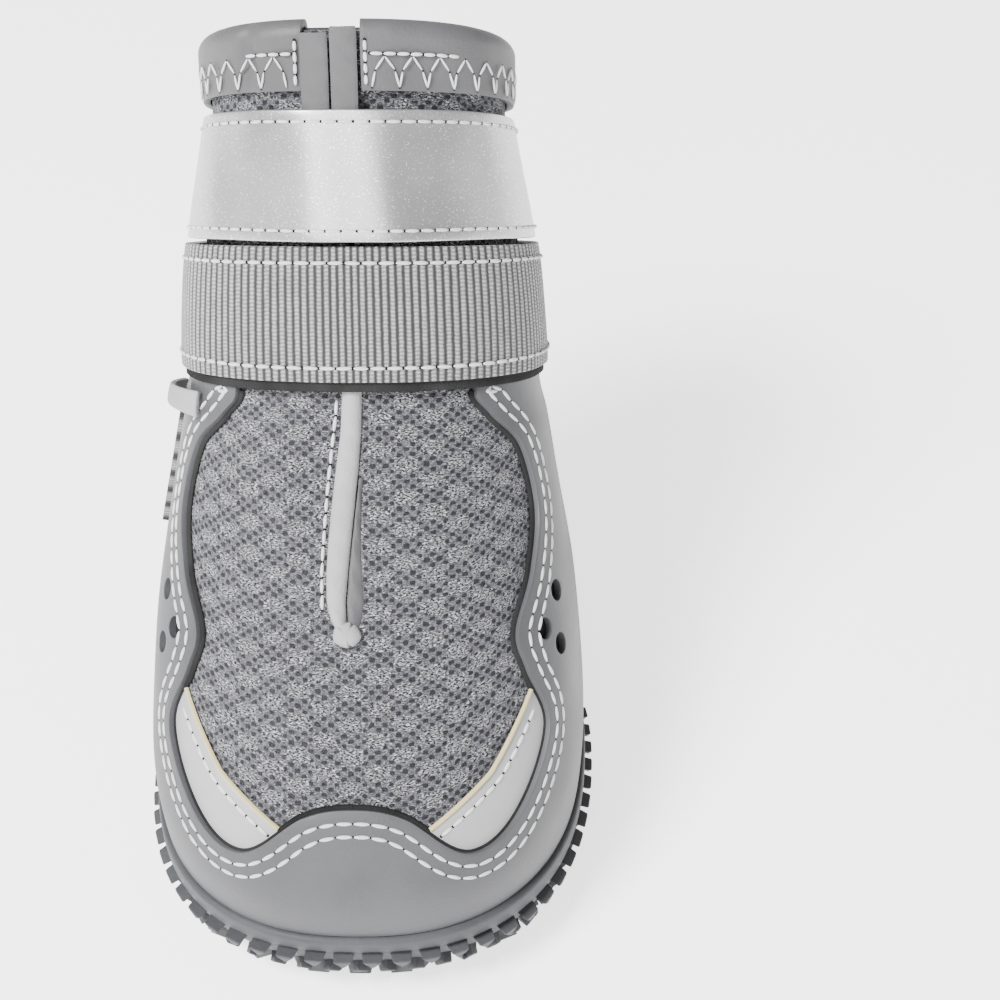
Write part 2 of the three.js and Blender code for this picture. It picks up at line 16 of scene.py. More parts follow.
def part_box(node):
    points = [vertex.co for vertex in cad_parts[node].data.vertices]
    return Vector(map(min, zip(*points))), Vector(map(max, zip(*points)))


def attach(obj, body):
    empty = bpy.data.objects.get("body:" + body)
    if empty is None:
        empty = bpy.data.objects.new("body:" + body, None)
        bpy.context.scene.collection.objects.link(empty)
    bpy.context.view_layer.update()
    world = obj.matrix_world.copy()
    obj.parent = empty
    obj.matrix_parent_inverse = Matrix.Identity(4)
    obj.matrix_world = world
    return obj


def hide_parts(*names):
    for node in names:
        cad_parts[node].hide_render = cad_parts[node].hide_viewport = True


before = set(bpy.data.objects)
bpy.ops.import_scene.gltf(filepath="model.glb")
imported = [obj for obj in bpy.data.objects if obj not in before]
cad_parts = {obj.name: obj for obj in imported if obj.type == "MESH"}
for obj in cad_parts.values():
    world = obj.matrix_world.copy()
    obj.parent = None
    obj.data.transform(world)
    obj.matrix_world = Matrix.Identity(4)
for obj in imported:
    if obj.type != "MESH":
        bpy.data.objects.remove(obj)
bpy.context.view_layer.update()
MM = 0.001
low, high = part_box("insole")
MIDDLE = (low[1] + high[1]) / 2  # where the middle of the last lies in the frame
print("frame loaded, last's middle at y =", round(MIDDLE, 4))

# %% [markdown]
# ## The last
# A shoemaker stretches every soft piece over one wooden foot, the last. Here the last is a small table: each row
# is a section, and a smooth curve runs through the rows. One function then gives any point by its angle from the
# toe, its level up the table and its height above the surface, so all the pieces fit each other.

# %% The last's table
LENGTH = 84.0
BALL_WIDTH = 69.6
INSTEP_HEIGHT = 64.0
COLLAR_HEIGHT = 132.5
INSTEP = 6
COLLAR = 11
TOE_POWER = 2.35
HEEL_POWER = 2.08

# front, frontRise, back, backRise, width: parts of the length, of the height and of the ball's width
LAST = [
    ("feather", -0.488, 0.102, 0.488, 0.102, 0.966),
    ("rim line", -0.498, 0.25, 0.5, 0.234, 0.994),
    ("bumper", -0.483, 0.39, 0.5, 0.375, 1.0),
    ("cap top", -0.395, 0.561, 0.495, 0.516, 0.983),
    ("low vamp", -0.292, 0.697, 0.498, 0.617, 0.954),
    ("slit end", -0.185, 0.836, 0.512, 0.711, 0.914),
    ("instep", -0.065, 1.0, 0.543, 0.789, 0.868),
    ("throat", 0.042, 0.557, 0.587, 0.419, 0.822),
    ("ankle", 0.137, 0.63, 0.623, 0.43, 0.776),
    ("strap line", 0.265, 0.783, 0.706, 0.57, 0.724),
    ("band top", 0.377, 0.92, 0.783, 0.706, 0.667),
    ("collar", 0.426, 1.0, 0.818, 0.785, 0.672),
]
SPRING = {"toe": 3.2, "toe_from": 20.0, "heel": 0.8, "heel_from": 32.0, "half_length": 44.4}


def in_millimetres(index, row):
    name, front, front_rise, back, back_rise, width = row
    height = INSTEP_HEIGHT if index <= INSTEP else COLLAR_HEIGHT
    return [front * LENGTH, front_rise * height, back * LENGTH, back_rise * height, width * BALL_WIDTH / 2]


rows = np.array([in_millimetres(i, row) for i, row in enumerate(LAST)])
padded_rows = np.vstack([2 * rows[0] - rows[1], rows, 2 * rows[-1] - rows[-2]])
print("rows in the last's table:", len(LAST))

# %% [markdown]
# ### Sections
# Between two rows a smooth curve through four of them gives the section, so the last has no corners. Seen along
# its own axis, a section is nearly an ellipse. A power above two makes it squarer, and the toe is squarer than the
# heel. The toe and the heel also spring up from the floor a little, as on a real sole.

# %% Sections of the last
def through_four(a, b, c, d, t):
    slope_b = (c - a) / 2
    slope_c = (d - b) / 2
    return (b * (2 * t**3 - 3 * t**2 + 1) + slope_b * (t**3 - 2 * t**2 + t)
            + c * (3 * t**2 - 2 * t**3) + slope_c * (t**3 - t**2))


def smoothstep(x, start, end):
    t = np.clip((np.asarray(x, float) - start) / (end - start), 0, 1)
    return t * t * (3 - 2 * t)


def section_at(level):
    inside = np.clip(level, 0, COLLAR)
    i = np.minimum(np.floor(inside), COLLAR - 1).astype(int)
    t = (inside - i)[..., None]
    value = through_four(padded_rows[i], padded_rows[i + 1], padded_rows[i + 2], padded_rows[i + 3], t)
    above = np.maximum(level - COLLAR, 0)[..., None] * (padded_rows[-1] - padded_rows[-2])
    below = np.minimum(level, 0)[..., None] * (padded_rows[2] - padded_rows[1])
    return value + above + below


def outline_radius(angle, half_length, half_width):
    c = np.cos(angle)
    s = np.sin(angle)
    power = HEEL_POWER + (TOE_POWER - HEEL_POWER) * smoothstep(c, -0.5, 0.5)
    return (np.abs(c / half_length) ** power + np.abs(s / half_width) ** power) ** (-1 / power)


def spring(y):
    toe = np.maximum(0, -y - SPRING["toe_from"]) / (SPRING["half_length"] - SPRING["toe_from"])
    heel = np.maximum(0, y - SPRING["heel_from"]) / (SPRING["half_length"] - SPRING["heel_from"])
    return SPRING["toe"] * toe**2 + SPRING["heel"] * heel**2


GIRTH = 2 * math.pi * rows[-1][4]
print("girth at the collar, mm:", round(float(GIRTH)))

# %% [markdown]
# ### Points on the last
# A point is named by its angle from the toe, its level and its height. Height is measured along the surface's
# normal, which is the cross product of the two tangents. The same functions take one number or a whole array.

# %% Points on the last
def on_last(angle, level):
    angle, level = np.broadcast_arrays(np.asarray(angle, float), np.asarray(level, float))
    s = section_at(level)
    front = s[..., 0:2]
    back = s[..., 2:4]
    forward = front - back
    size = np.linalg.norm(forward, axis=-1)
    forward = forward / size[..., None]
    r = outline_radius(angle, size / 2, s[..., 4])
    yz = (front + back) / 2 + forward * (r * np.cos(angle))[..., None]
    z = yz[..., 1] + spring(yz[..., 0]) * np.clip(1 - level, 0, 1)
    return np.stack([r * np.sin(angle), yz[..., 0], z], -1)


def tangents(angle, level):
    step = 0.01
    around = (on_last(angle + step, level) - on_last(angle - step, level)) / (2 * step)
    up = (on_last(angle, level + step) - on_last(angle, level - step)) / (2 * step)
    return around, up


def outward(angle, level):
    around, up = tangents(angle, level)
    normal = np.cross(around, up)
    return normal / np.linalg.norm(normal, axis=-1)[..., None]


def last(angle, level, offset=0.0):
    """Points on the last in millimetres, offset millimetres outside it. Takes numbers or arrays."""
    angle, level, offset = np.broadcast_arrays(*[np.asarray(v, float) for v in (angle, level, offset)])
    return on_last(angle, level) + outward(angle, level) * offset[..., None]


def mm_per_level(angle, level):
    """How many millimetres up the surface one level is, at these angles."""
    return np.linalg.norm(tangents(angle, np.full(np.shape(angle), level))[1], axis=-1)


def placed(points):
    """From the last's millimetres to the frame's metres."""
    return np.asarray(points) * MM + np.array([0, MIDDLE, 0])


print("front of the toe, m:", placed(last(0.0, 1.0)).round(4))

# %% [markdown]
# ### Lines beside lines
# Stitches, felt and piping all run at a distance beside a seam. The two tangents turn a step sideways on the
# surface into a step in angle and level. Three short steps follow the bend better than one long one. The soft
# bumps and troughs of slack cloth are rows of a table too: where they lie, how wide they are and how high.

# %% Lines beside a line, and slack
def beside(angle, level, distance, steps=3):
    """A line at a distance (mm) beside a line drawn on the last, positive to the left of its direction."""
    for _ in range(steps):
        along = np.gradient(on_last(angle, level), axis=0)
        side = np.cross(outward(angle, level), along)
        side = side / np.linalg.norm(side, axis=-1)[..., None] * distance / steps
        around, up = tangents(angle, level)
        aa = (around * around).sum(-1)
        uu = (up * up).sum(-1)
        au = (around * up).sum(-1)
        sa = (side * around).sum(-1)
        su = (side * up).sum(-1)
        det = aa * uu - au * au
        angle = angle + (sa * uu - su * au) / det
        level = level + (su * aa - sa * au) / det
    return angle, level


def rim_level(angle):
    c = np.cos(angle)
    return 0.72 + np.where(c > 0, 0.28, 0.18) * c * c

def slack(folds, degrees, level):
    """Height in mm. Each fold has its place and width in degrees, its place and width in levels, and its height."""
    return sum(height * np.exp(-((degrees - at) / wide) ** 2 - ((level - up) / tall) ** 2)
               for at, wide, up, tall, height in folds)


def read_along(table, share):
    """A table's value at a share (0 to 1) of its length."""
    return np.interp(share * (len(table) - 1), np.arange(len(table)), table)


print("the rim's level at the toe:", round(float(rim_level(0.0)), 2))

# %% [markdown]
# ## Panels, threads and small helpers
# A sewn panel is a flat cut stretched over the last, so each one starts as a plain grid from bmesh, whose two
# directions are then carried onto the last by a function. The panel gets a UV map in millimetres, so that a
# weave keeps its real size. Modifiers give it its thickness and round its edges.

# %% Helpers for panels
SAME_POINT = 1e-6  # metres, closer than which two points of a closed ring are one


def new_object(name, bm):
    mesh = bpy.data.meshes.new(name)
    bm.to_mesh(mesh)
    bm.free()
    made = bpy.data.objects.new(name, mesh)
    bpy.context.scene.collection.objects.link(made)
    return made


def finish_object(name, bm, finish, smooth=True):
    for face in bm.faces:
        face.smooth = smooth
    piece = new_object(name, bm)
    for each in finish if isinstance(finish, list) else [finish]:
        piece.data.materials.append(each)
    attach(piece, "root")
    return piece


def grid(columns, rows_up, shape, chart=lambda u, v: (u, v), ring=False, keep=None):
    """A grid whose (u, v) from 0 to 1 is carried to points by shape(u, v), with chart(u, v) as UV in mm."""
    bm = bmesh.new()
    bmesh.ops.create_grid(bm, x_segments=columns, y_segments=rows_up, size=0.5)
    flat = np.array([v.co[:2] for v in bm.verts]) + 0.5
    points = placed(shape(flat[:, 0], flat[:, 1]))
    across, up = chart(flat[:, 0], flat[:, 1])
    uv = bm.loops.layers.uv.new("chart")
    bm.verts.index_update()
    for face in bm.faces:
        for loop in face.loops:
            loop[uv].uv = (across[loop.vert.index], up[loop.vert.index])
    lost = [] if keep is None else [
        f for f in bm.faces if not keep(*np.mean([flat[v.index] for v in f.verts], axis=0))]
    for vert in bm.verts:
        vert.co = points[vert.index]
    bmesh.ops.delete(bm, geom=lost, context="FACES")
    if ring:
        bmesh.ops.remove_doubles(bm, verts=bm.verts, dist=SAME_POINT)
    return bm


def ring_grid(table):
    """A closed ring carried onto a table of points: its rows go up the profile, its columns go round."""
    last_row, last_column = table.shape[0] - 1, table.shape[1] - 1

    def shape(u, v):
        return table[np.round(v * last_row).astype(int), np.round(u * last_column).astype(int)]

    return grid(last_column, last_row, shape, ring=True)


print("points closer than this are merged, m:", SAME_POINT)

# %% [markdown]
# ### Turning, joining and thickening
# A thin panel has to face outwards before Solidify gives it a wall that grows inwards. Panels that come in two
# mirrored halves are poured into one bmesh by way of a scrap mesh, and a Bevel rounds the cut edges.

# %% Helpers for thickness and parts
def face_outward(bm, middle=(0, 0.01, 0.06)):
    """Turn an open panel so that its faces point away from the boot's inside."""
    bmesh.ops.recalc_face_normals(bm, faces=bm.faces)
    bm.normal_update()
    total = sum((f.normal.dot(f.calc_center_median() - Vector(middle)) * f.calc_area()) for f in bm.faces)
    if total < 0:
        bmesh.ops.reverse_faces(bm, faces=bm.faces)


def from_rows(rows_of_points):
    """A panel without a chart, given as rows of points, with its faces turned outwards."""
    across, up = len(rows_of_points[0]) - 1, len(rows_of_points) - 1
    part = bmesh.new()
    bmesh.ops.create_grid(part, x_segments=across, y_segments=up, size=0.5)
    for vert in part.verts:
        vert.co = rows_of_points[round((vert.co.y + 0.5) * up)][round((vert.co.x + 0.5) * across)]
    face_outward(part)
    return part


def add_part(whole, part):
    scrap = bpy.data.meshes.new("scrap")
    part.to_mesh(scrap)
    part.free()
    whole.from_mesh(scrap)
    bpy.data.meshes.remove(scrap)


def round_edges(piece, width, segments=2, over=30):
    """A bevel, in millimetres, on each edge that bends by more than a number of degrees."""
    rounding = piece.modifiers.new("round edges", "BEVEL")
    rounding.width = width * MM
    rounding.segments = segments
    rounding.limit_method = "ANGLE"
    rounding.angle_limit = math.radians(over)


def thicken(piece, thickness, bevel=0.0, segments=2):
    solid = piece.modifiers.new("thickness", "SOLIDIFY")
    solid.thickness = thickness * MM
    solid.offset = -1.0
    if bevel:
        round_edges(piece, bevel, segments, over=50)


def panel(name, bm, finish, thickness, bevel=0.0, segments=2):
    face_outward(bm)
    piece = finish_object(name, bm, finish)
    thicken(piece, thickness, bevel, segments)
    return piece


def both_sides(angle, level):
    return [(side * angle, level, side) for side in (1, -1)]


print("helpers for panels are ready")

# %% [markdown]
# ## Thread
# A lockstitch shows as a row of short, plump bars of thread, each pulled down into a needle hole at both ends.
# One bar is a stretched icosphere. It is repeated along a line at the stitch's pitch, and a flat dark disc sits
# at each hole, so the rows read as sewn and not as a painted dotted line.

# %% Stitch rows
def oriented(middle, along, normal, size):
    x = Vector(along).normalized()
    z = (Vector(normal) - x * x.dot(Vector(normal))).normalized()
    y = z.cross(x)
    turn = Matrix((x, y, z)).transposed().to_4x4()
    return Matrix.Translation(Vector(middle)) @ turn @ Matrix.Diagonal((*size, 1))


BAR_FILL = 0.94  # the share of a stitch that its bar of thread fills
SWAY = 0.05  # mm, how far a bar's ends stray


def add_bar(bm, start, end, normal, width):
    start, end = Vector(start), Vector(end)
    size = ((end - start).length * BAR_FILL / 2, width / 2, width / 2)
    matrix = oriented((start + end) / 2, end - start, normal, size)
    bmesh.ops.create_icosphere(bm, subdivisions=2, radius=1.0, matrix=matrix)


def add_hole(bm, at, along, normal, width):
    matrix = oriented(at, along, normal, (width * 0.42, width * 0.5, width * 0.12))
    bmesh.ops.create_icosphere(bm, subdivisions=1, radius=1.0, matrix=matrix)


def paced(points, normals, pitch):
    """Points at an even pitch (mm) along a line, with the surface's normals there."""
    lengths = np.concatenate([[0], np.cumsum(np.linalg.norm(np.diff(points, axis=0), axis=1))])
    count = max(1, int(round(lengths[-1] / pitch)))
    at = np.linspace(0, lengths[-1], count + 1)
    even = np.stack([np.interp(at, lengths, points[:, k]) for k in range(3)], -1)
    up = np.stack([np.interp(at, lengths, normals[:, k]) for k in range(3)], -1)
    return even, up / np.linalg.norm(up, axis=1)[:, None]


def stitch_rows(name, lines, pitch, width, sink=0.05):
    """Bars of thread along each line of points and normals, and the needle holes as a piece of their own."""
    bars = bmesh.new()
    holes = bmesh.new()
    chance = random.Random(7)
    count = 0
    for points, normals in lines:
        even, up = paced(points, normals, pitch)
        place = placed(even - up * sink)
        for i in range(len(place) - 1):
            sway = np.array([chance.uniform(-SWAY, SWAY) for k in range(3)]) * MM
            add_bar(bars, place[i] + sway, place[i + 1] - sway, up[i], width * MM)
            add_hole(holes, place[i], place[i + 1] - place[i], up[i], width * MM)
            count += 1
    finish_object(name, bars, THREAD)
    finish_object(name + "_holes", holes, HOLE)
    print(name, "bars:", count)


print("helpers for thread are ready")

# %% [markdown]
# ## Finishes
# Every material here is made of noise and simple maths, so it has grain at any distance. Two effects are shared:
# a fine leathery grain, and broad clouds as dust and rubbing leave them. One node group gives both, and is placed
# in the materials with their own values. It only gives out values; the shader stays in the material.

# %% Node helpers
def new_group(name, inputs, outputs):
    tree = bpy.data.node_groups.new(name, "ShaderNodeTree")
    for label, kind, value in inputs:
        socket = tree.interface.new_socket(label, in_out="INPUT", socket_type=kind)
        if value is not None:
            socket.default_value = value
    for label, kind in outputs:
        tree.interface.new_socket(label, in_out="OUTPUT", socket_type=kind)
    return tree, tree.nodes.new("NodeGroupInput"), tree.nodes.new("NodeGroupOutput")


def feed(tree, socket, value):
    if isinstance(value, bpy.types.NodeSocket):
        tree.links.new(value, socket)
    elif value is not None:
        socket.default_value = value


def math_node(tree, operation, a, b=None):
    node = tree.nodes.new("ShaderNodeMath")
    node.operation = operation
    for socket, value in zip(node.inputs, (a, b)):
        feed(tree, socket, value)
    return node.outputs[0]


def plus(tree, a, b):
    return math_node(tree, "ADD", a, b)


def times(tree, a, b):
    return math_node(tree, "MULTIPLY", a, b)


def wave(tree, value, length, shift=None):
    """A cosine that repeats at a length, shifted by an angle that may itself be a pattern."""
    angle = times(tree, value, 2 * math.pi / length)
    return math_node(tree, "COSINE", angle if shift is None else plus(tree, shift, angle))


def noise(tree, vector, scale, detail=2.0, roughness=0.5, output="Fac"):
    node = tree.nodes.new("ShaderNodeTexNoise")
    feed(tree, node.inputs["Vector"], vector)
    for label, value in (("Scale", scale), ("Detail", detail), ("Roughness", roughness)):
        node.inputs[label].default_value = value
    return node.outputs[output]


def uneven(tree, vector, scale, amount):
    """Noise about zero, to roughen a pattern's edge."""
    return times(tree, math_node(tree, "SUBTRACT", noise(tree, vector, scale), 0.5), amount)


def ramp(tree, value, low_in, high_in, low_out=0.0, high_out=1.0):
    node = tree.nodes.new("ShaderNodeMapRange")
    node.interpolation_type = "SMOOTHSTEP"
    feed(tree, node.inputs["Value"], value)
    for label, number in (("From Min", low_in), ("From Max", high_in), ("To Min", low_out), ("To Max", high_out)):
        feed(tree, node.inputs[label], number)
    return node.outputs["Result"]


def mix_colour(tree, factor, a, b):
    node = tree.nodes.new("ShaderNodeMix")
    node.data_type = "RGBA"
    for label, value in (("Factor", factor), ("A", a), ("B", b)):
        feed(tree, node.inputs[label], value)
    return node.outputs["Result"]


def bump(tree, height, distance, strength=1.0):
    node = tree.nodes.new("ShaderNodeBump")
    node.inputs["Strength"].default_value = strength
    node.inputs["Distance"].default_value = distance
    feed(tree, node.inputs["Height"], height)
    return node.outputs["Normal"]


print("helpers for patterns are ready")

# %% [markdown]
# ### Vectors, materials and colours
# Grain and dust read the piece's own Object coordinates. A weave reads the chart, the UV map in millimetres, and a
# Mapping node stretches a pattern along the yarn. Greys are given by one value and a little warmth or blue.

# %% Vector and material helpers
def coordinates(tree):
    return tree.nodes.new("ShaderNodeTexCoord").outputs["Object"]


def chart_of(tree):
    node = tree.nodes.new("ShaderNodeUVMap")
    node.uv_map = "chart"
    return node.outputs["UV"]


def across_and_up(tree, vector):
    node = tree.nodes.new("ShaderNodeSeparateXYZ")
    tree.links.new(vector, node.inputs[0])
    return node.outputs["X"], node.outputs["Y"]


def stretched(tree, vector, scale, degrees=0.0):
    node = tree.nodes.new("ShaderNodeMapping")
    node.inputs["Rotation"].default_value = (0, 0, math.radians(degrees))
    node.inputs["Scale"].default_value = (*scale, 1.0)
    tree.links.new(vector, node.inputs["Vector"])
    return node.outputs["Vector"]


def material(name, roughness, specular, metallic=0.0, sheen=0.0):
    made = bpy.data.materials.new(name)
    made.use_nodes = True
    shader = made.node_tree.nodes["Principled BSDF"]
    for label, value in (("Roughness", roughness), ("Specular IOR Level", specular),
                         ("Metallic", metallic), ("Sheen Weight", sheen)):
        shader.inputs[label].default_value = value
    return made, made.node_tree, shader


def group_node(tree, group, **values):
    node = tree.nodes.new("ShaderNodeGroup")
    node.node_tree = group
    for label, value in values.items():
        feed(tree, node.inputs[label], value)
    return node


def grey(value, warm=0.0, blue=0.0):
    return (value * (1 + warm), value, value * (1 + blue), 1.0)


def shade(colour, factor):
    return tuple(min(1.0, c * factor) for c in colour[:3]) + (1.0,)


print("helpers for materials are ready")

# %% [markdown]
# ### Grain and wear
# Coated fabric and rubber share a fine pebble grain. Its cells are of two sizes, so Voronoi cells and a broader
# noise are added. Wear is broader still: clouds that make the colour a little lighter or darker, and rougher.

# %% The shared group
grain_group, g_in, g_out = new_group(
    "fine grain",
    [("Vector", "NodeSocketVector", None), ("Size", "NodeSocketFloat", 2500.0)],
    [("Height", "NodeSocketFloat"), ("Cloud", "NodeSocketFloat")],
)
fine = grain_group.nodes.new("ShaderNodeTexVoronoi")
fine.feature = "SMOOTH_F1"
grain_group.links.new(g_in.outputs["Vector"], fine.inputs["Vector"])
grain_group.links.new(g_in.outputs["Size"], fine.inputs["Scale"])
broad = noise(grain_group, g_in.outputs["Vector"], 900.0, 3.0)
feed(grain_group, g_out.inputs["Height"], math_node(grain_group, "ADD", fine.outputs["Distance"], broad))
feed(grain_group, g_out.inputs["Cloud"], noise(grain_group, g_in.outputs["Vector"], 60.0, 4.0, 0.6))
print("shared groups:", len(bpy.data.node_groups))

# %% [markdown]
# ### Plain finishes
# Coated fabric, rubber, trim and thread differ only in a few values, so one function makes them all. Each line
# says the colour, the roughness, how many grains there are to a metre, how deep they are in metres, how cloudy
# the colour is and how much it shines.

# %% Plain finishes
CLOUD_RANGE = (0.3, 0.7)  # the middle part of a noise, where nearly all of it lies


def coated(name, base, roughness, size, depth, cloud=0.12, specular=0.4):
    """One colour with clouds, and a fine grain in its bump."""
    made, tree, shader = material(name, roughness, specular)
    grain = group_node(tree, grain_group, Vector=coordinates(tree), Size=size)
    cloudy = grain.outputs["Cloud"]
    colour = mix_colour(tree, ramp(tree, cloudy, *CLOUD_RANGE), shade(base, 1 - cloud), shade(base, 1 + cloud))
    feed(tree, shader.inputs["Base Color"], colour)
    rough = ramp(tree, cloudy, *CLOUD_RANGE, roughness - 0.06, roughness + 0.06)
    feed(tree, shader.inputs["Roughness"], rough)
    feed(tree, shader.inputs["Normal"], bump(tree, grain.outputs["Height"], depth, 0.6))
    return made


OVERLAY = coated("overlay coated fabric", grey(0.066, -0.01, 0.07), 0.5, 2600.0, 0.00006)
RUBBER = coated("moulded rubber", grey(0.05, -0.02, 0.08), 0.62, 1500.0, 0.00008, 0.15, 0.3)
TRIM = coated("collar trim", grey(0.08, 0.0, 0.04), 0.55, 2200.0, 0.00007)
BINDING = coated("napped binding", grey(0.33, 0.0, 0.03), 0.9, 3500.0, 0.00012, 0.06, 0.1)
PATCH = coated("pale reflective patch", grey(0.34, 0.0, 0.01), 0.5, 3800.0, 0.00003, 0.05)
CREAM = coated("cream piping", (0.52, 0.44, 0.23, 1.0), 0.6, 3000.0, 0.00004, 0.05)
FELT = coated("black felt", grey(0.02), 0.95, 4000.0, 0.0002, 0.4, 0.1)
LINING = coated("dark lining", grey(0.05, 0.0, 0.08), 0.9, 3000.0, 0.0001, 0.2, 0.1)
PLATE = coated("yellow plate", (0.52, 0.33, 0.05, 1.0), 0.45, 1200.0, 0.00003, 0.06)
THREAD = coated("off-white thread", grey(0.62, 0.0, 0.01), 0.75, 6000.0, 0.00008, 0.08, 0.2)
HOLE = coated("needle hole", grey(0.012), 0.95, 3000.0, 0.00001, 0.1, 0.05)
print("plain finishes:", len(bpy.data.materials))

# %% [markdown]
# ### Air mesh
# Air mesh is a warp knit: pale yarn round small dark holes that sit in a diamond lattice. The holes grow and
# shrink in patches, so the cloth looks mottled from far off. The pattern is drawn on the panel's chart, in
# millimetres: two diagonal waves make the lattice, a slower pair changes the size of the holes, and stretched
# noise gives the yarn its white and lilac flecks.

# %% The mesh's finish
HOLE_STEP = (1.05, 0.84)  # mm from one hole to its diagonal neighbour, across and up
CLUSTER = (8.4, 5.04)  # mm, how often clusters of holes come, across and up
CLOSE_KNIT = (grey(0.010, 0.02, 0.3), grey(0.56, 0.0, 0.06))  # gaps and yarn where the cloth is close
OPEN_KNIT = (grey(0.05, 0.02, 0.25), grey(0.27, 0.0, 0.12))  # gaps and yarn between the larger holes
YARN = (((2.0, 4.8), 28), ((2.6, 5.6), -35))  # the flecks' stretch along the yarn, and the way it runs in degrees


def make_mesh_cloth():
    made, tree, shader = material("air mesh", 0.85, 0.2, sheen=0.15)
    chart = chart_of(tree)
    pull = tree.nodes.new("ShaderNodeVectorMath")
    pull.operation = "MULTIPLY_ADD"
    for socket, value in zip(pull.inputs, (noise(tree, chart, 0.8, output="Color"), (0.7, 0.7, 0.0), chart)):
        feed(tree, socket, value)
    pulled = pull.outputs[0]
    x, y = across_and_up(tree, pulled)
    slanted = times(tree, y, HOLE_STEP[0] / HOLE_STEP[1])
    diagonals = [wave(tree, math_node(tree, way, x, slanted), 2 * HOLE_STEP[0]) for way in ("ADD", "SUBTRACT")]
    clusters = times(tree, wave(tree, x, CLUSTER[0]), wave(tree, y, CLUSTER[1]))
    clusters = plus(tree, clusters, uneven(tree, chart, 0.5, 1.2))
    edge = ramp(tree, clusters, -0.6, 0.3, 1.9, 0.3)
    ragged = plus(tree, plus(tree, *diagonals), uneven(tree, chart, 3.2, 1.0))
    hole = ramp(tree, math_node(tree, "SUBTRACT", ragged, edge), -0.12, 0.28)
    flecks = [noise(tree, stretched(tree, pulled, scale, way), 1.0, 4.0, 0.7) for scale, way in YARN]
    yarn = ramp(tree, plus(tree, *flecks), 0.93, 1.12)
    cloth = mix_colour(tree, ramp(tree, clusters, -0.35, 0.2), mix_colour(tree, yarn, *CLOSE_KNIT),
                       mix_colour(tree, yarn, *OPEN_KNIT))
    feed(tree, shader.inputs["Base Color"], mix_colour(tree, hole, cloth, grey(0.006, 0.0, 0.5)))
    height = math_node(tree, "SUBTRACT", times(tree, yarn, 0.4), hole)
    feed(tree, shader.inputs["Normal"], bump(tree, height, 0.0005, 1.0))
    return made


MESH = make_mesh_cloth()
print("nodes in the mesh's finish:", len(MESH.node_tree.nodes))

# %% [markdown]
# ### Webbing
# The lower strap is ribbed webbing: fine upright ribs crossed by close picks, which read as rows of dots. The picks
# of each rib lie half a step from those of the next. The colour follows the weave's height: painted shade in its
# grooves and painted light on its tops.

# %% The webbing's finish
RIB = 1.12  # mm from rib to rib
PICK = 0.62  # mm from pick to pick


def make_webbing(base):
    made, tree, shader = material("ribbed webbing", 0.7, 0.3, sheen=0.2)
    chart = chart_of(tree)
    x, y = across_and_up(tree, chart)
    jitter = times(tree, noise(tree, chart, 1.2), 0.9)
    rib_height = ramp(tree, wave(tree, x, RIB, jitter), -1.0, 0.6)
    half_step = times(tree, wave(tree, x, 2 * RIB), 1.2)
    pick_height = ramp(tree, wave(tree, y, PICK, half_step), -1.0, 0.8)
    height = times(tree, rib_height, plus(tree, times(tree, pick_height, 0.55), 0.45))
    fleck = noise(tree, stretched(tree, chart, (1.0, 0.12)), 2.2, 3.0, 0.7)
    # Painted shade and light: the colour is dark where the weave is low and pale where it is high.
    relief_shading = times(tree, height, ramp(tree, fleck, *CLOUD_RANGE, 0.75, 1.15))
    feed(tree, shader.inputs["Base Color"], mix_colour(tree, relief_shading, shade(base, 0.12), shade(base, 2.3)))
    feed(tree, shader.inputs["Normal"], bump(tree, height, 0.00035, 0.9))
    return made


WEBBING = make_webbing(grey(0.165, 0.01, 0.01))
print("nodes in the webbing's finish:", len(WEBBING.node_tree.nodes))

# %% [markdown]
# ### Reflective satin
# The upper band is almost smooth and silver, with tiny glass beads that sparkle. Voronoi cells make the beads in
# its bump, and a tight ramp on fine noise paints a few specks near-white in its colour, as painted glints.

# %% The band's finish
def make_reflective():
    made, tree, shader = material("reflective satin", 0.34, 0.6, metallic=0.85)
    place = coordinates(tree)
    beads = tree.nodes.new("ShaderNodeTexVoronoi")
    beads.inputs["Scale"].default_value = 4200.0
    tree.links.new(place, beads.inputs["Vector"])
    # Painted glint: near-white specks in the colour stand for beads that catch the light.
    painted_glint = ramp(tree, noise(tree, place, 3800.0, 1.0), 0.62, 0.72)
    cloud = ramp(tree, noise(tree, place, 45.0, 3.0), 0.3, 0.7)
    base = mix_colour(tree, cloud, grey(0.42, 0.0, 0.02), grey(0.50, 0.0, 0.02))
    feed(tree, shader.inputs["Base Color"], mix_colour(tree, painted_glint, base, grey(0.95)))
    feed(tree, shader.inputs["Roughness"], ramp(tree, cloud, 0.0, 1.0, 0.34, 0.42))
    feed(tree, shader.inputs["Normal"], bump(tree, beads.outputs["Distance"], 0.00002, 0.35))
    return made


REFLECTIVE = make_reflective()
print("finishes made:", len(bpy.data.materials))

# %% [markdown]
# ## The cloth's chart
# A weave should keep one size all over. The chart measures real millimetres round the last from the front's middle
# and up its front, so a flat pattern can be read by them.

# %% Chart of the last in millimetres
chart_angles = np.radians(np.linspace(0, 180, 91))
chart_levels = np.linspace(0, 11.5, 70)
round_points = on_last(chart_angles[:, None], chart_levels[None, :])
round_steps = np.linalg.norm(np.diff(round_points, axis=0), axis=2)
round_mm = np.vstack([np.zeros(len(chart_levels)), np.cumsum(round_steps, axis=0)])
up_mm = np.concatenate([[0], np.cumsum(np.linalg.norm(np.diff(round_points[0], axis=0), axis=1))])


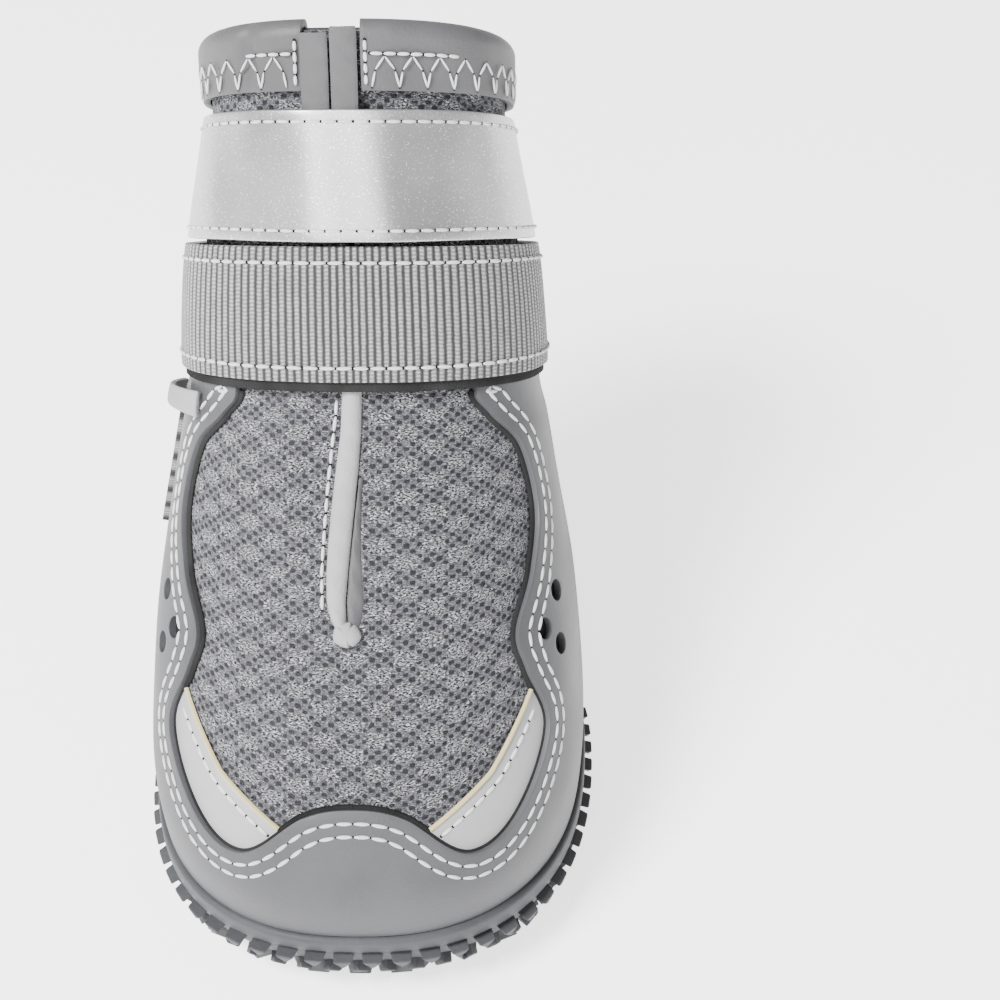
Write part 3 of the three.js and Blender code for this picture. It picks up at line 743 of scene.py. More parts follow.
def cloth_chart(angle, level):
    i = np.interp(np.abs(angle), chart_angles, np.arange(len(chart_angles)))
    j = np.interp(level, chart_levels, np.arange(len(chart_levels)))
    i0 = np.minimum(i.astype(int), len(chart_angles) - 2)
    j0 = np.minimum(j.astype(int), len(chart_levels) - 2)
    a = round_mm[i0, j0] * (1 - (i - i0)) + round_mm[i0 + 1, j0] * (i - i0)
    b = round_mm[i0, j0 + 1] * (1 - (i - i0)) + round_mm[i0 + 1, j0 + 1] * (i - i0)
    return np.sign(angle) * (a * (1 - (j - j0)) + b * (j - j0)), np.interp(level, chart_levels, up_mm)


def front_angle(x, level):
    """The angle at which the front of the last is x millimetres across from its middle line."""
    s = section_at(np.asarray(level, float))
    half_length = np.hypot(s[..., 0] - s[..., 2], s[..., 1] - s[..., 3]) / 2
    return np.arcsin(np.clip(np.asarray(x) / half_length, -1, 1))


print("half the widest girth, mm:", round(float(round_mm[-1].max())))

# %% [markdown]
# ## The upper
# The mesh upper is one tube of cloth with a slit down its front. It is a grid wrapped round the last: two narrow
# columns at the front are left out above the slit's end, which opens it, and Solidify gives the wall its 2 mm.
# Slack cloth has a trough over the instep and soft pads beside it.

# %% The upper's mesh
SLIT = {"end": 5.15, "width": 1.0}  # the level of its lower end, and how wide it is in mm
UPPER_COLUMNS = 132
UPPER_ROWS = 88
CLOTH_FOLDS = [(-24, 16, 5.6, 0.5, -0.5), (22, 16, 6.3, 0.8, 0.7), (-26, 16, 6.8, 0.7, 0.6), (0, 30, 3.8, 0.6, 0.3)]
slit_columns = 2 / UPPER_COLUMNS  # the slit's share of the way round, both columns together


def upper_angle(u, level):
    away = u * 2 - 1  # -1 and 1 at the back, 0 at the front
    slit_angle = front_angle(SLIT["width"] / 2, level)
    inside = np.abs(away) / slit_columns * slit_angle
    outside = slit_angle + (np.abs(away) - slit_columns) / (1 - slit_columns) * (math.pi - slit_angle)
    return np.sign(away) * np.where(np.abs(away) <= slit_columns, inside, outside)


def soft_folds(angle, level):
    return slack(CLOTH_FOLDS, np.degrees(angle), level)


def upper_shape(u, v):
    level = v * COLLAR
    angle = upper_angle(u, level)
    return last(angle, level, soft_folds(angle, level))


upper_bm = grid(
    UPPER_COLUMNS, UPPER_ROWS, upper_shape,
    chart=lambda u, v: cloth_chart(upper_angle(u, v * COLLAR), v * COLLAR),
    ring=True,
    keep=lambda u, v: not (abs(u * 2 - 1) < slit_columns and v * COLLAR > SLIT["end"]),
)
upper = panel("mesh_upper", upper_bm, [MESH, LINING], 2.0)
upper.modifiers["thickness"].material_offset = 1
upper.modifiers["thickness"].material_offset_rim = 1
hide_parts("upper")
print("upper faces:", len(upper.data.polygons))

# %% [markdown]
# ## The mudguard
# The mudguard is one piece of smooth coated fabric: the toe cap, both side wings and the heel counter. What the
# eye reads is the line of its opening, so that line is a short table of landmarks with a smooth curve through
# them.

# %% The opening's edge
# landmark, angle in degrees, level; the last two rows only steer the curve under the strap
EDGE = [
    ("crest of the toe cap", 0, 3.0),
    ("shoulder of the cap", 12, 2.86),
    ("trough", 26, 2.28),
    ("corner", 40, 2.47),
    ("low bulge", 53.5, 3.2),
    ("over the bulge", 49.5, 4.2),
    ("pinch", 48.5, 4.8),
    ("under the high bulge", 58, 5.4),
    ("high bulge", 64.5, 6.1),
    ("over the high bulge", 60.5, 7.0),
    ("neck", 48.5, 7.63),
    ("under the strap", 42.5, 7.95),
    ("strap corner", 52, 8.3),
    ("side", 84, 8.35),
]
STRAP_ROW = 11  # the last row of the table that shows as the opening's edge
BETWEEN = 24  # points of the curve from one row to the next

edge_rows = np.array([row[1:] for row in EDGE], float)
edge_rows = np.vstack([edge_rows[1] * [-1, 1], edge_rows])  # the curve crosses the middle level
steps = np.linspace(0, STRAP_ROW, STRAP_ROW * BETWEEN + 1)
first = steps.astype(int)
opening = through_four(*[edge_rows[first + k] for k in range(4)], (steps - first)[:, None])
opening_angle = np.radians(opening[:, 0])
opening_level = opening[:, 1]
print("points on the opening's edge:", len(opening))

# %% [markdown]
# ### Two patches for each half
# One grid can't follow both the low toe cap and the wings without folding over itself. So each half has two: the
# cap's patch climbs from the foot to the opening's lowest point, and the wing's rows follow the opening from there
# up and run back to the heel. They share their edge, and both halves are merged into one piece.

# %% The mudguard's panel
GUARD = {"gap": 0.35, "thickness": 1.2, "foot_gap": 0.03, "top": 8.35, "foot_rows": 18, "columns": 72}
GUARD_FOLDS = [(80, 13, 3.0, 0.8, -0.3), (130, 16, 5.2, 0.8, -0.3), (104, 12, 4.6, 1.0, 0.35)]
corner = int(np.argmin(opening_level))  # below this point lies the cap's patch, above it the wing's
foot_angles = np.concatenate([
    opening_angle[:corner:2], np.linspace(opening_angle[corner], math.pi, GUARD["columns"] + 1)])
foot_tops = np.concatenate([opening_level[:corner:2], np.full(GUARD["columns"] + 1, opening_level[corner])])
wing_angles = np.concatenate([opening_angle[corner::2], opening_angle[-1:]])
wing_levels = np.concatenate([opening_level[corner::2], [GUARD["top"]]])


def guard_skin(angle, level):
    folds = slack(GUARD_FOLDS, np.abs(np.degrees(angle)), level)
    return last(angle, level, GUARD["gap"] + GUARD["thickness"] + folds)


def cap_place(u, v):
    angle = read_along(foot_angles, u)
    foot = rim_level(angle) + GUARD["foot_gap"]
    return angle, foot + (read_along(foot_tops, u) - foot) * v


def wing_place(u, v):
    edge = read_along(wing_angles, v)
    return edge + (math.pi - edge) * u, read_along(wing_levels, v)


guard_bm = bmesh.new()
for side in (1, -1):
    for place_of, columns, rows_up in ((cap_place, len(foot_angles) - 1, GUARD["foot_rows"]),
                                       (wing_place, GUARD["columns"], len(wing_angles) - 1)):
        def carried(u, v):
            angle, level = place_of(u, v)
            return guard_skin(side * angle, level)
        add_part(guard_bm, grid(columns, rows_up, carried, chart=lambda u, v: cloth_chart(*place_of(u, v))))
bmesh.ops.remove_doubles(guard_bm, verts=guard_bm.verts, dist=20 * SAME_POINT)
guard = panel("mudguard_shell", guard_bm, OVERLAY, GUARD["thickness"])
print("mudguard faces before the vents:", len(guard.data.polygons))

# %% [markdown]
# ### Vents
# Three round holes are punched on each side, as a maker would, with a boolean. Its result is baked into the mesh,
# so that the punch can be thrown away.

# %% The vents
VENTS = {"front": (58.5, 4.55), "high": (67.5, 4.85), "low": (65.0, 4.07)}  # degrees from the toe, and level
VENT_WIDTH = 3.6  # mm


def vent_frame(side, turn, level, height, size=(1, 1, 1)):
    """The place of a vent, with z straight out of the mudguard, at a height over the last."""
    angle = np.array(side * math.radians(turn))
    out = outward(angle, np.array(level))
    return oriented(placed(last(angle, level, height)), np.cross(out, [0, 0, 1]), out, size)


punch_bm = bmesh.new()
radius = VENT_WIDTH / 2 * MM
for side in (-1, 1):
    for turn, level in VENTS.values():
        bmesh.ops.create_cone(punch_bm, cap_ends=True, segments=28, radius1=radius, radius2=radius,
                              depth=8 * MM, matrix=vent_frame(side, turn, level, 0.5))
punch = new_object("punch", punch_bm)
cut = guard.modifiers.new("vents", "BOOLEAN")
cut.object = punch
cut.solver = "EXACT"
round_edges(guard, 0.3, over=55)
bpy.context.view_layer.update()
baked = bpy.data.meshes.new_from_object(guard.evaluated_get(bpy.context.evaluated_depsgraph_get()))
guard.modifiers.clear()
guard.data = baked
bpy.data.objects.remove(punch)
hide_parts("mudguard")
print("mudguard faces:", len(guard.data.polygons))

# %% [markdown]
# ## Felt behind the mudguard's edge
# A thin black felt shows all along inside the opening's edge, and behind the vents. It is a strip drawn beside the
# opening's edge: from near to far millimetres beside a line, crowned between two heights.

# %% Strips beside the opening
STRIP_COLUMNS = 4
VENT_BACK = (2.1 * MM, 2.1 * MM, 0.25 * MM)


def strip(name, angle, level, near, far, low_mm, high_mm, finish):
    bm = bmesh.new()
    offsets = np.linspace(near, far, STRIP_COLUMNS + 1)
    heights = low_mm + (high_mm - low_mm) * np.sin(np.linspace(0, math.pi, STRIP_COLUMNS + 1))
    for line_angle, line_level, side in both_sides(angle, level):
        add_part(bm, from_rows([placed(last(*beside(line_angle, line_level, side * offset), height))
                                for offset, height in zip(offsets, heights)]))
    return finish_object(name, bm, finish)


felt = strip("felt_edge", opening_angle, opening_level, 0.75, -1.2, 0.3, 0.75, FELT)
thicken(felt, 0.3)

backs = bmesh.new()
for side in (1, -1):
    for turn, level in VENTS.values():
        disc = vent_frame(side, turn, level, 0.1, VENT_BACK)
        bmesh.ops.create_icosphere(backs, subdivisions=3, radius=1.0, matrix=disc)
finish_object("vent_backs", backs, FELT)
print("felt faces:", len(felt.data.polygons))

# %% [markdown]
# ## Corner patches and piping
# In the two lower corners a pale reflective patch fills the opening, with a cream piping along its straight side.
# Its rows of points go over from the piping's line to a line just under the opening's edge.

# %% Patches and piping
PATCH_LINE = {"from": (17.5, 2.68), "middle": 3.12, "to": (50.5, 3.86)}  # the piping, in degrees and levels
PATCH_ROWS = 10
LOW_BULGE_END = 5 * BETWEEN  # the opening's point over the low bulge

share = np.linspace(0, 1, PATCH_ROWS + 1)
at_corner = (opening[:, 0] >= PATCH_LINE["from"][0]) & (opening[:, 1] < PATCH_LINE["to"][1])
patch_curve = opening[at_corner & (np.arange(len(opening)) < LOW_BULGE_END)]
patch_steps = np.linspace(0, 1, len(patch_curve))
piping_angle = np.radians(np.interp(patch_steps, [0, 1], [PATCH_LINE["from"][0], PATCH_LINE["to"][0]]))
piping_level = np.interp(
    patch_steps, [0, 0.5, 1], [PATCH_LINE["from"][1], PATCH_LINE["middle"], PATCH_LINE["to"][1]])

patch_bm = bmesh.new()
for line_angle, line_level, side in both_sides(piping_angle, piping_level):
    outer_angle, outer_level = beside(side * np.radians(patch_curve[:, 0]), patch_curve[:, 1], -side)
    add_part(patch_bm, from_rows([
        placed(last(line_angle * (1 - s) + outer_angle * s, line_level * (1 - s) + outer_level * s, 0.5))
        for s in share]))
patches = finish_object("corner_patches", patch_bm, PATCH)
thicken(patches, 0.35)
strip("patch_piping", piping_angle, piping_level, -0.35, 0.45, 0.45, 0.95, CREAM)
print("patch points:", len(patch_curve))

# %% [markdown]
# ## Stitches on the mudguard
# Two parallel rows of pale thread follow the opening, two and four millimetres outside its edge. They hold the
# mudguard to the mesh. One more row holds each corner patch beside its piping.

# %% Rows beside the opening
def guard_line(angle, level, distance):
    a, l = beside(angle, level, distance)
    return guard_skin(a, l), outward(a, l)


edge_lines = [guard_line(line_angle, line_level, side * distance)
              for line_angle, line_level, side in both_sides(opening_angle, opening_level)
              for distance in (-2.0, -4.0)]
stitch_rows("mudguard_stitches", edge_lines, 2.75, 0.64)

patch_lines = []
for line_angle, line_level, side in both_sides(piping_angle, piping_level):
    a, l = beside(line_angle, line_level, side * -1.9)
    patch_lines.append((last(a, l, 0.55)[2:-6], outward(a, l)[2:-6]))  # short of the patch's two ends
stitch_rows("patch_stitches", patch_lines, 2.4, 0.62)

# %% [markdown]
# ## The slit's binding
# The slit is bound with two tapes: a napped one on the left, and one in its shade on the right, given the darker
# trim finish as painted shade. They are drawn as ribbons whose two edges are given in millimetres from the middle
# line at a few levels. At the collar the two tapes come out from under the straps again and stop at the top.

# %% Ribbons down the front
CHART_PER_LEVEL = 12  # mm of chart to one level of the last, near enough for a narrow tape


def ribbon(name, table, crown, finish, base=0.35, lean=0.0):
    """table: (level, left edge mm, right edge mm); crown: how much higher the ribbon's middle is than its edges."""
    levels, lefts, rights = np.array(table, float).T

    def place_of(u, v):
        level = read_along(levels, v)
        left = np.interp(level, levels, lefts)
        x = left + (np.interp(level, levels, rights) - left) * u
        height = base + crown * np.sin(np.pi * np.clip(u, 0, 1)) ** 0.55 + lean * (0.5 - u)
        return x, level, height + 0.1 * np.sin(level * 19 + u * 2.4) * np.sin(np.pi * u)

    def shape(u, v):
        x, level, height = place_of(u, v)
        return last(front_angle(x, level), level, height)

    def chart(u, v):
        x, level, height = place_of(u, v)
        return x, level * CHART_PER_LEVEL

    return panel(name, grid(8, 70, shape, chart), finish, 0.55, bevel=0.15)


lit_tape = ribbon("slit_binding_left", [
    (5.12, -2.2, -0.4), (5.3, -3.6, -1.1), (5.5, -4.3, -1.25), (5.8, -4.35, -0.9), (6.1, -4.1, -0.5),
    (6.6, -3.5, 0.2), (7.0, -2.9, 0.7), (7.5, -2.2, 1.1), (8.0, -1.9, 1.25), (8.2, -1.9, 1.25)], 1.15, BINDING)
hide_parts("throat_binding")
# Painted shade: the right tape lies in the left one's shade, so it takes the darker trim finish.
shaded_tape = ribbon("slit_binding_right", [
    (5.12, -1.2, 0.3), (5.3, -1.0, 1.1), (5.5, -1.1, 1.5), (5.8, -0.8, 1.25), (6.1, -0.4, 1.1),
    (6.6, 0.3, 1.2), (6.9, 0.75, 1.45)], 0.35, TRIM, base=0.25, lean=0.5)
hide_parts("throat_binding")
left_tape = ribbon("collar_binding_left", [
    (9.8, -6.3, -2.5), (10.2, -6.4, -2.5), (10.6, -6.4, -2.5), (10.9, -6.4, -2.5), (11.0, -6.3, -2.6)],
    0.2, TRIM, base=1.75)
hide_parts("throat_binding")
right_tape = ribbon("collar_binding_right", [
    (9.8, -2.2, 1.7), (10.2, -2.2, 1.7), (10.6, -2.2, 1.7), (11.0, -2.2, 1.7), (11.08, -2.1, 1.6)],
    0.2, TRIM, base=2.1)
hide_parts("throat_binding")

# %% [markdown]
# ### The knot at the slit's end
# The two tapes are gathered into a small knot. It is an icosphere with three creases pressed into its round, then
# flattened against the cloth. One row of stitches runs beside the left tape.

# %% The knot
KNOT = {"x": -1.1, "level": 5.15, "height": 0.7, "size": (2.2 * MM, 2.0 * MM, 1.5 * MM)}
CREASES = (2.2, 1.1, -1.3)  # radians round the knot

knot_bm = bmesh.new()
bmesh.ops.create_icosphere(knot_bm, subdivisions=5, radius=1.0)
for vert in knot_bm.verts:
    turn = math.atan2(vert.co.y, vert.co.x)
    flat = 1 - abs(vert.co.z)
    pressed = sum(math.exp(-((turn - at + math.pi) % (2 * math.pi) - math.pi) ** 2 / 0.012) for at in CREASES)
    groove = -0.2 * pressed + 0.03 * math.sin(5 * turn + 2.0)
    vert.co *= 1 + groove * min(1.0, 0.25 + flat * 1.6)
knot_angle = front_angle(KNOT["x"], KNOT["level"])
knot_at = placed(last(knot_angle, KNOT["level"], KNOT["height"]))
bmesh.ops.transform(knot_bm, verts=knot_bm.verts, matrix=oriented(
    knot_at, (1, 0, 0), outward(knot_angle, KNOT["level"]), KNOT["size"]))
knot = finish_object("binding_knot", knot_bm, BINDING)
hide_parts("throat_binding")

slit_levels = np.linspace(5.4, 7.9, 60)
slit_x = np.interp(slit_levels, [5.4, 5.8, 6.6, 7.9], [-5.0, -5.1, -4.3, -2.7])
slit_angles = front_angle(slit_x, slit_levels)
slit_line = last(slit_angles, slit_levels, soft_folds(slit_angles, slit_levels)), outward(slit_angles, slit_levels)
stitch_rows("slit_stitches", [slit_line], 2.6, 0.6, sink=-0.05)

# %% [markdown]
# ## The collar
# The collar is bound with a wide band of fabric folded over the top. It is one grid whose rows go up the outside,
# over the fold and down the inside; Solidify gives it its thickness. It stops on both sides of the slit.

# %% The collar's trim
COLLAR_TRIM = {"thickness": 1.1, "outside": 8.7, "inside": 6.0, "rise": 1.6, "right": 5.6, "left": 343.2}
FOLD_FOOT = 0.8  # mm under the collar's line, where the fold begins
NOTCH = [(322, 3.0, -3, 4.5, -1.1)]  # a dent at the left, its place in degrees and in mm over the collar's line
OUTSIDE, FOLD, INSIDE = 9, 13, 7  # how many rows of points each part of the trim has
trim_rise, trim_out = np.array(
    [(-COLLAR_TRIM["outside"] + k * (COLLAR_TRIM["outside"] - FOLD_FOOT) / (OUTSIDE - 1),
      0.3 + COLLAR_TRIM["thickness"]) for k in range(OUTSIDE)]
    + [(-FOLD_FOOT + (COLLAR_TRIM["rise"] + 0.6) * math.sin(t), -1.0 + 2.4 * math.cos(t))
       for t in np.linspace(0.15, 2.99, FOLD)]
    + [(-FOLD_FOOT - k * (COLLAR_TRIM["inside"] - FOLD_FOOT) / (INSIDE - 1), -3.4) for k in range(INSIDE)]).T


def trim_shape(u, v):
    angle = np.radians(COLLAR_TRIM["right"] + (COLLAR_TRIM["left"] - COLLAR_TRIM["right"]) * u)
    rise = read_along(trim_rise, v)
    out = read_along(trim_out, v)
    ripple = 0.25 * np.sin(angle * 9 + 1) * np.sin(np.pi * np.clip((rise + COLLAR_TRIM["outside"]) / 9, 0, 1))
    uneven_by = (ripple + slack(NOTCH, np.degrees(angle), rise)) * (out > 0)
    return last(angle, COLLAR + rise / mm_per_level(angle, 10.9), out + uneven_by)


trim_bm = grid(220, OUTSIDE + FOLD + INSIDE - 1, trim_shape)
trim = panel("collar_binding_band", trim_bm, TRIM, COLLAR_TRIM["thickness"], bevel=0.3)
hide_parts("collar_trim")
print("trim faces:", len(trim.data.polygons))

# %% [markdown]
# ### The collar's thread
# A zigzag of off-white thread holds the trim, because a zigzag can stretch with the leg. Each of its legs is a
# line of three points, a little bowed. Straight rows lock the trim's two ends and part of its top.

# %% Rows on the collar
ZIGZAG = {"from": 9.5, "to": 338, "pitch": 3.9, "free": 44, "bow": 0.9, "down": [3.4, 5.4, 8.3]}


def on_trim(degrees, down):
    """A line on the trim's outside, in degrees round it and millimetres down from the collar's line."""
    angle = np.radians(np.asarray(degrees, float))
    level = COLLAR - np.asarray(down, float) / mm_per_level(angle, 10.9)
    return last(angle, level, 0.6 + COLLAR_TRIM["thickness"]), outward(angle, level)


legs = int(round(GIRTH * (360 - ZIGZAG["free"]) / 360 / ZIGZAG["pitch"])) * 2
turns = np.linspace(ZIGZAG["from"], ZIGZAG["to"], legs + 1)
zigzag_lines = []
for k in range(legs):
    way = 1 if k % 2 else -1
    bow = [turns[k], (turns[k] + turns[k + 1]) / 2 + ZIGZAG["bow"] * way, turns[k + 1]]
    zigzag_lines.append(on_trim(bow, ZIGZAG["down"][::way]))
stitch_rows("collar_zigzag", zigzag_lines, 2.7, 0.36)
top_lines = [on_trim(np.linspace(*ends, 12), 3.1) for ends in ((9, 42), (340, 322))]
stitch_rows("collar_top_stitches", top_lines, 1.9, 0.55)
beside_slit = [on_trim([turn] * 8, np.linspace(1, 8, 8)) for turn in (7.4, 341.2)]
stitch_rows("collar_end_stitches", beside_slit, 1.9, 0.6)

# %% [markdown]
# ## The straps
# Each strap goes once round the leg and lies over its own start, so the overlapping part is lifted by one
# thickness. In front it rises over the slit's binding. The upper strap is reflective satin, flared at its lower
# edge. The lower one is ribbed webbing on a dark backing that shows as a dark line under its lower edge.

# %% Straps that wrap round
STRAP_START = 205.0  # degrees, just past the middle of the back
STRAP_ROW_OF_LAST = 9
ABOVE_GUARD = 1.95  # mm from the last to just over the mudguard
BAND = {"low": 9.03, "high": 10.0, "overlap": 18, "over_binding": 1.95, "offset": 0.5, "thickness": 1.2,
        "belly": 0.3, "flare": 1.6}
WEB = {"low": 8.08, "high": 8.99, "overlap": 24, "over_binding": 1.95, "offset": ABOVE_GUARD, "thickness": 1.7,
       "belly": 0.35, "flare": 0.0}
BACKING = {**WEB, "low": 7.99, "high": 8.89, "over_binding": 1.7, "offset": 1.7, "thickness": 0.9, "belly": 0.1}


def strap_height(turn, strap):
    lift = (strap["thickness"] + 0.35) * smoothstep(turn, STRAP_START + 300, STRAP_START + 350)
    from_front = np.degrees(np.arccos(np.cos(np.radians(turn))))
    lower = (strap["offset"] - strap["over_binding"]) * smoothstep(from_front, 12, 50)
    return strap["over_binding"] + lower + lift + strap["thickness"]


def wrap(name, strap, finish):
    def place_of(u, v):
        turn = STRAP_START + (360 + strap["overlap"]) * u
        return np.radians(turn), strap["low"] + (strap["high"] - strap["low"]) * v, turn

    def shape(u, v):
        angle, level, turn = place_of(u, v)
        rolled = -strap["belly"] * np.abs(v * 2 - 1) ** 2.5 + strap["flare"] * (1 - v) ** 1.6
        ripple = 0.12 * np.sin(turn * 0.19 + v * 2.0) * np.sin(turn * 0.083 + 1.3)
        return last(angle, level, strap_height(turn, strap) + rolled + ripple)

    def chart(u, v):
        angle, level, turn = place_of(u, v)
        return angle * rows[STRAP_ROW_OF_LAST][4] * 1.02, np.interp(level, chart_levels, up_mm)

    return panel(name, grid(300, 16, shape, chart), finish, strap["thickness"], bevel=0.28, segments=3)


upper_strap = wrap("reflective_band", BAND, REFLECTIVE)
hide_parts("strap_upper")
lower_strap = wrap("woven_strap", WEB, WEBBING)
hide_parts("strap_lower")
backing = wrap("strap_backing", BACKING, FELT)
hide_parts("strap_lower")
print("strap widths, mm:", [round(float(np.ptp(np.interp([s["low"], s["high"]], chart_levels, up_mm))), 1)
                            for s in (BAND, WEB)])

# %% [markdown]
# ### Rows along the straps
# Each strap is sewn along both edges, a little inside them. On the upper strap the lower row rides on the flare.

# %% Rows along the straps
def strap_line(strap, inset_mm, to_turn, above):
    """inset_mm is counted up from the lower edge, or down from the upper one when it is negative."""
    turn = np.linspace(STRAP_START + 60, STRAP_START + to_turn, 260)
    angle = np.radians(turn)
    edge = strap["low"] if inset_mm > 0 else strap["high"]
    level = edge + inset_mm / mm_per_level(angle, edge)
    return last(angle, level, strap_height(turn, strap) + above), outward(angle, level)


band_lines = [strap_line(BAND, inset, 376, above) for inset, above in ((1.7, 0.85 * BAND["flare"]), (-1.7, 0.02))]
stitch_rows("band_stitches", band_lines, 2.4, 0.55, sink=0.0)
web_lines = [strap_line(WEB, inset, 382, -0.06) for inset in (2.3, -2.3)]
stitch_rows("strap_stitches", web_lines, 2.6, 0.6, sink=0.0)

# %% [markdown]
# ## The strap's anchor and keeper
# At the left the webbing starts as a short upright length sewn to the mudguard, with a slanted lower end. In front
# of it a small flat loop keeps the strap's edge down: a bowed strip with both ends on the mudguard.

# %% Anchor and keeper
ANCHOR = {"from": -128, "turn": 30, "foot": 5.3, "slant": 0.4, "head": 7.94, "height": 1.5, "thickness": 1.4}
KEEPER = {"from": -86, "turn": 28, "low": 7.45, "width": 0.43, "height": 1.1, "bow": 2.2, "thickness": 1.0}


def anchor_place(u, v):
    foot = ANCHOR["foot"] - ANCHOR["slant"] * u
    return np.radians(ANCHOR["from"] + ANCHOR["turn"] * u), foot + (ANCHOR["head"] - foot) * v


def anchor_shape(u, v):
    rolled = 0.25 * (1 - np.sin(np.pi * np.clip(u, 0, 1)) ** 0.4)
    return last(*anchor_place(u, v), ABOVE_GUARD + ANCHOR["height"] - rolled)


def keeper_shape(u, v):
    bowed = KEEPER["bow"] * np.sin(np.pi * np.clip(u, 0, 1)) - 0.2 * np.abs(v * 2 - 1) ** 3
    angle = np.radians(KEEPER["from"] + KEEPER["turn"] * u)
    return last(angle, KEEPER["low"] + KEEPER["width"] * v, ABOVE_GUARD + KEEPER["height"] + bowed)


anchor_bm = grid(36, 40, anchor_shape, lambda u, v: cloth_chart(*anchor_place(u, v)))
anchor = panel("strap_tail", anchor_bm, WEBBING, ANCHOR["thickness"], bevel=0.3)
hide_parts("strap_anchor")
keeper = panel("strap_keeper", grid(40, 8, keeper_shape), BINDING, KEEPER["thickness"], bevel=0.3)
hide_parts("strap_loop")
print("anchor and keeper faces:", len(anchor.data.polygons), len(keeper.data.polygons))

# %% [markdown]
# ## The cup sole
# The sole is one grid turned round the last: from the middle of the tread out to the round of the edge, up the
# rim's band, over its rounded top and down inside to the cup's floor.

# %% The cup
SOLE = {"half_length": 44.4, "half_width": 36.8, "base": 2.4, "edge": 7.5, "floor": 6.1,
        "rim_step": 0.6, "rim_band": 5.4, "rim_round": 0.9, "columns": 144}


def on_tread(angle, walk, outside=0.0):
    edge = outline_radius(angle, SOLE["half_length"], SOLE["half_width"]) - SOLE["rim_step"]
    flat = edge - SOLE["edge"]
    turn = np.clip((walk - flat) / SOLE["edge"], 0, math.pi / 2)
    reach = np.minimum(walk, flat) + (SOLE["edge"] + outside) * np.sin(turn)
    rise = SOLE["base"] + SOLE["edge"] - (SOLE["edge"] + outside) * np.cos(turn)
    x = reach * np.sin(angle)
    y = -reach * np.cos(angle)
    return np.stack([x, y, rise + spring(y)], -1), turn, flat


def cup_profile(angle):
    top = last(angle, rim_level(angle), 0.0)[2]
    radius = outline_radius(angle, SOLE["half_length"], SOLE["half_width"])
    around = np.array([math.sin(angle), -math.cos(angle)])
    flat = on_tread(angle, 0.0)[2]
    points = [on_tread(angle, flat * k / 6)[0] for k in range(7)]
    points += [on_tread(angle, flat + SOLE["edge"] * t)[0] for t in np.linspace(0.15, 1.5707, 10)]
    foot = max(top - SOLE["rim_band"], points[-1][2] + 0.2)
    band = [(SOLE["rim_step"], foot), (0.15, foot + 0.12), (0.0, foot + 0.5), (0.0, (foot + top) / 2)]
    r = SOLE["rim_round"]
    band += [(r * (1 - math.cos(t)), top - r + r * math.sin(t)) for t in np.linspace(0, math.pi / 2, 5)]
    points += [np.array([*(around * (radius - inset)), height]) for inset, height in band]
    inner = [last(angle, level, 0.35) for level in np.linspace(rim_level(angle), 0, 5)]
    x, y = inner[-1][:2]
    floor = [np.array([x * part, y * part, SOLE["floor"] + spring(y * part)]) for part in (0.98, 0.6, 0.0)]
    return points + inner + floor


cup_profiles = np.array([cup_profile(a) for a in np.linspace(0, 2 * math.pi, SOLE["columns"] + 1)])
cup_bm = ring_grid(cup_profiles.transpose(1, 0, 2))
bmesh.ops.recalc_face_normals(cup_bm, faces=cup_bm.faces)
cup = finish_object("cup_sole", cup_bm, RUBBER)
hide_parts("outsole")
print("cup faces:", len(cup.data.polygons))

# %% [markdown]
# ## The tread
# The lugs are small three-sided cones that stand in straight rows and point by turns to the toe and the heel. Where
# the tread turns up, two rings of smaller lugs go round its edge. A bevel rounds them all as a mould would.

# %% The lugs
LUG = {"across": 6.6, "along": 7.9, "height": 2.4, "root": 0.9, "groove": 1.0, "taper": 0.68, "last_tilt": 46.0}
EDGE_LUG = {"count": 60, "height": 2.0, "taper": 0.74, "share": 0.86}
EDGE_TIERS = [(47.0, 64.0, 1), (66.5, 84.0, -1)]  # each ring's two tilts in degrees, and which way it points
PLATE_SIZE = {"length": 10.5, "width": 23.0, "corner": 2.4, "middle": 29.5, "top": 1.5, "groove": 1.2}

lug_bm = bmesh.new()


def three_sided(foot, head):
    cone = bmesh.ops.create_cone(lug_bm, cap_ends=True, segments=3, radius1=1, radius2=0.7, depth=1)["verts"]
    cone.sort(key=lambda v: (v.co.z, math.atan2(v.co.y, v.co.x)))
    for k, vert in enumerate(cone):
        vert.co = placed((foot + head)[k])


def lug(corners, carry, height, taper):
    """Foot and head of one lug: its three corners, drawn in by the taper and carried onto the tread."""
    middle = corners.mean(axis=0)
    three_sided(*[[carry((corner - middle) * size + middle, outside) for corner in corners]
                  for outside, size in ((-LUG["root"], 1.0), (height, taper))])


def from_plan(point, outside):
    return on_tread(np.arctan2(point[0], -point[1]), np.linalg.norm(point), outside)[0]


def on_edge(point, outside):
    return on_tread(point[0], flat + SOLE["edge"] * np.radians(point[1]), outside)[0]


half = LUG["across"] / 2 - LUG["groove"] * 0.75
long = LUG["along"] / 2 - LUG["groove"] * 0.5
tip = long - LUG["groove"] * 0.7
for row in range(-8, 9):
    for i in range(-18, 19):
        x = i * LUG["across"] / 2 + (LUG["across"] / 2 if row % 2 else 0)
        y = row * LUG["along"]
        point = 1 if i % 2 else -1
        corners = np.array([(x - half, y - point * long), (x + half, y - point * long), (x, y + point * tip)])
        middle = corners.mean(axis=0)
        turn = on_tread(np.arctan2(middle[0], -middle[1]), np.linalg.norm(middle))[1]
        dx = np.abs(corners[:, 0]) - PLATE_SIZE["width"] / 2
        dy = np.abs(corners[:, 1] - PLATE_SIZE["middle"]) - PLATE_SIZE["length"] / 2
        at_plate = np.any((dx < PLATE_SIZE["groove"]) & (dy < PLATE_SIZE["groove"]))
        if turn < math.radians(LUG["last_tilt"]) and not at_plate:
            lug(corners, from_plan, LUG["height"], LUG["taper"])

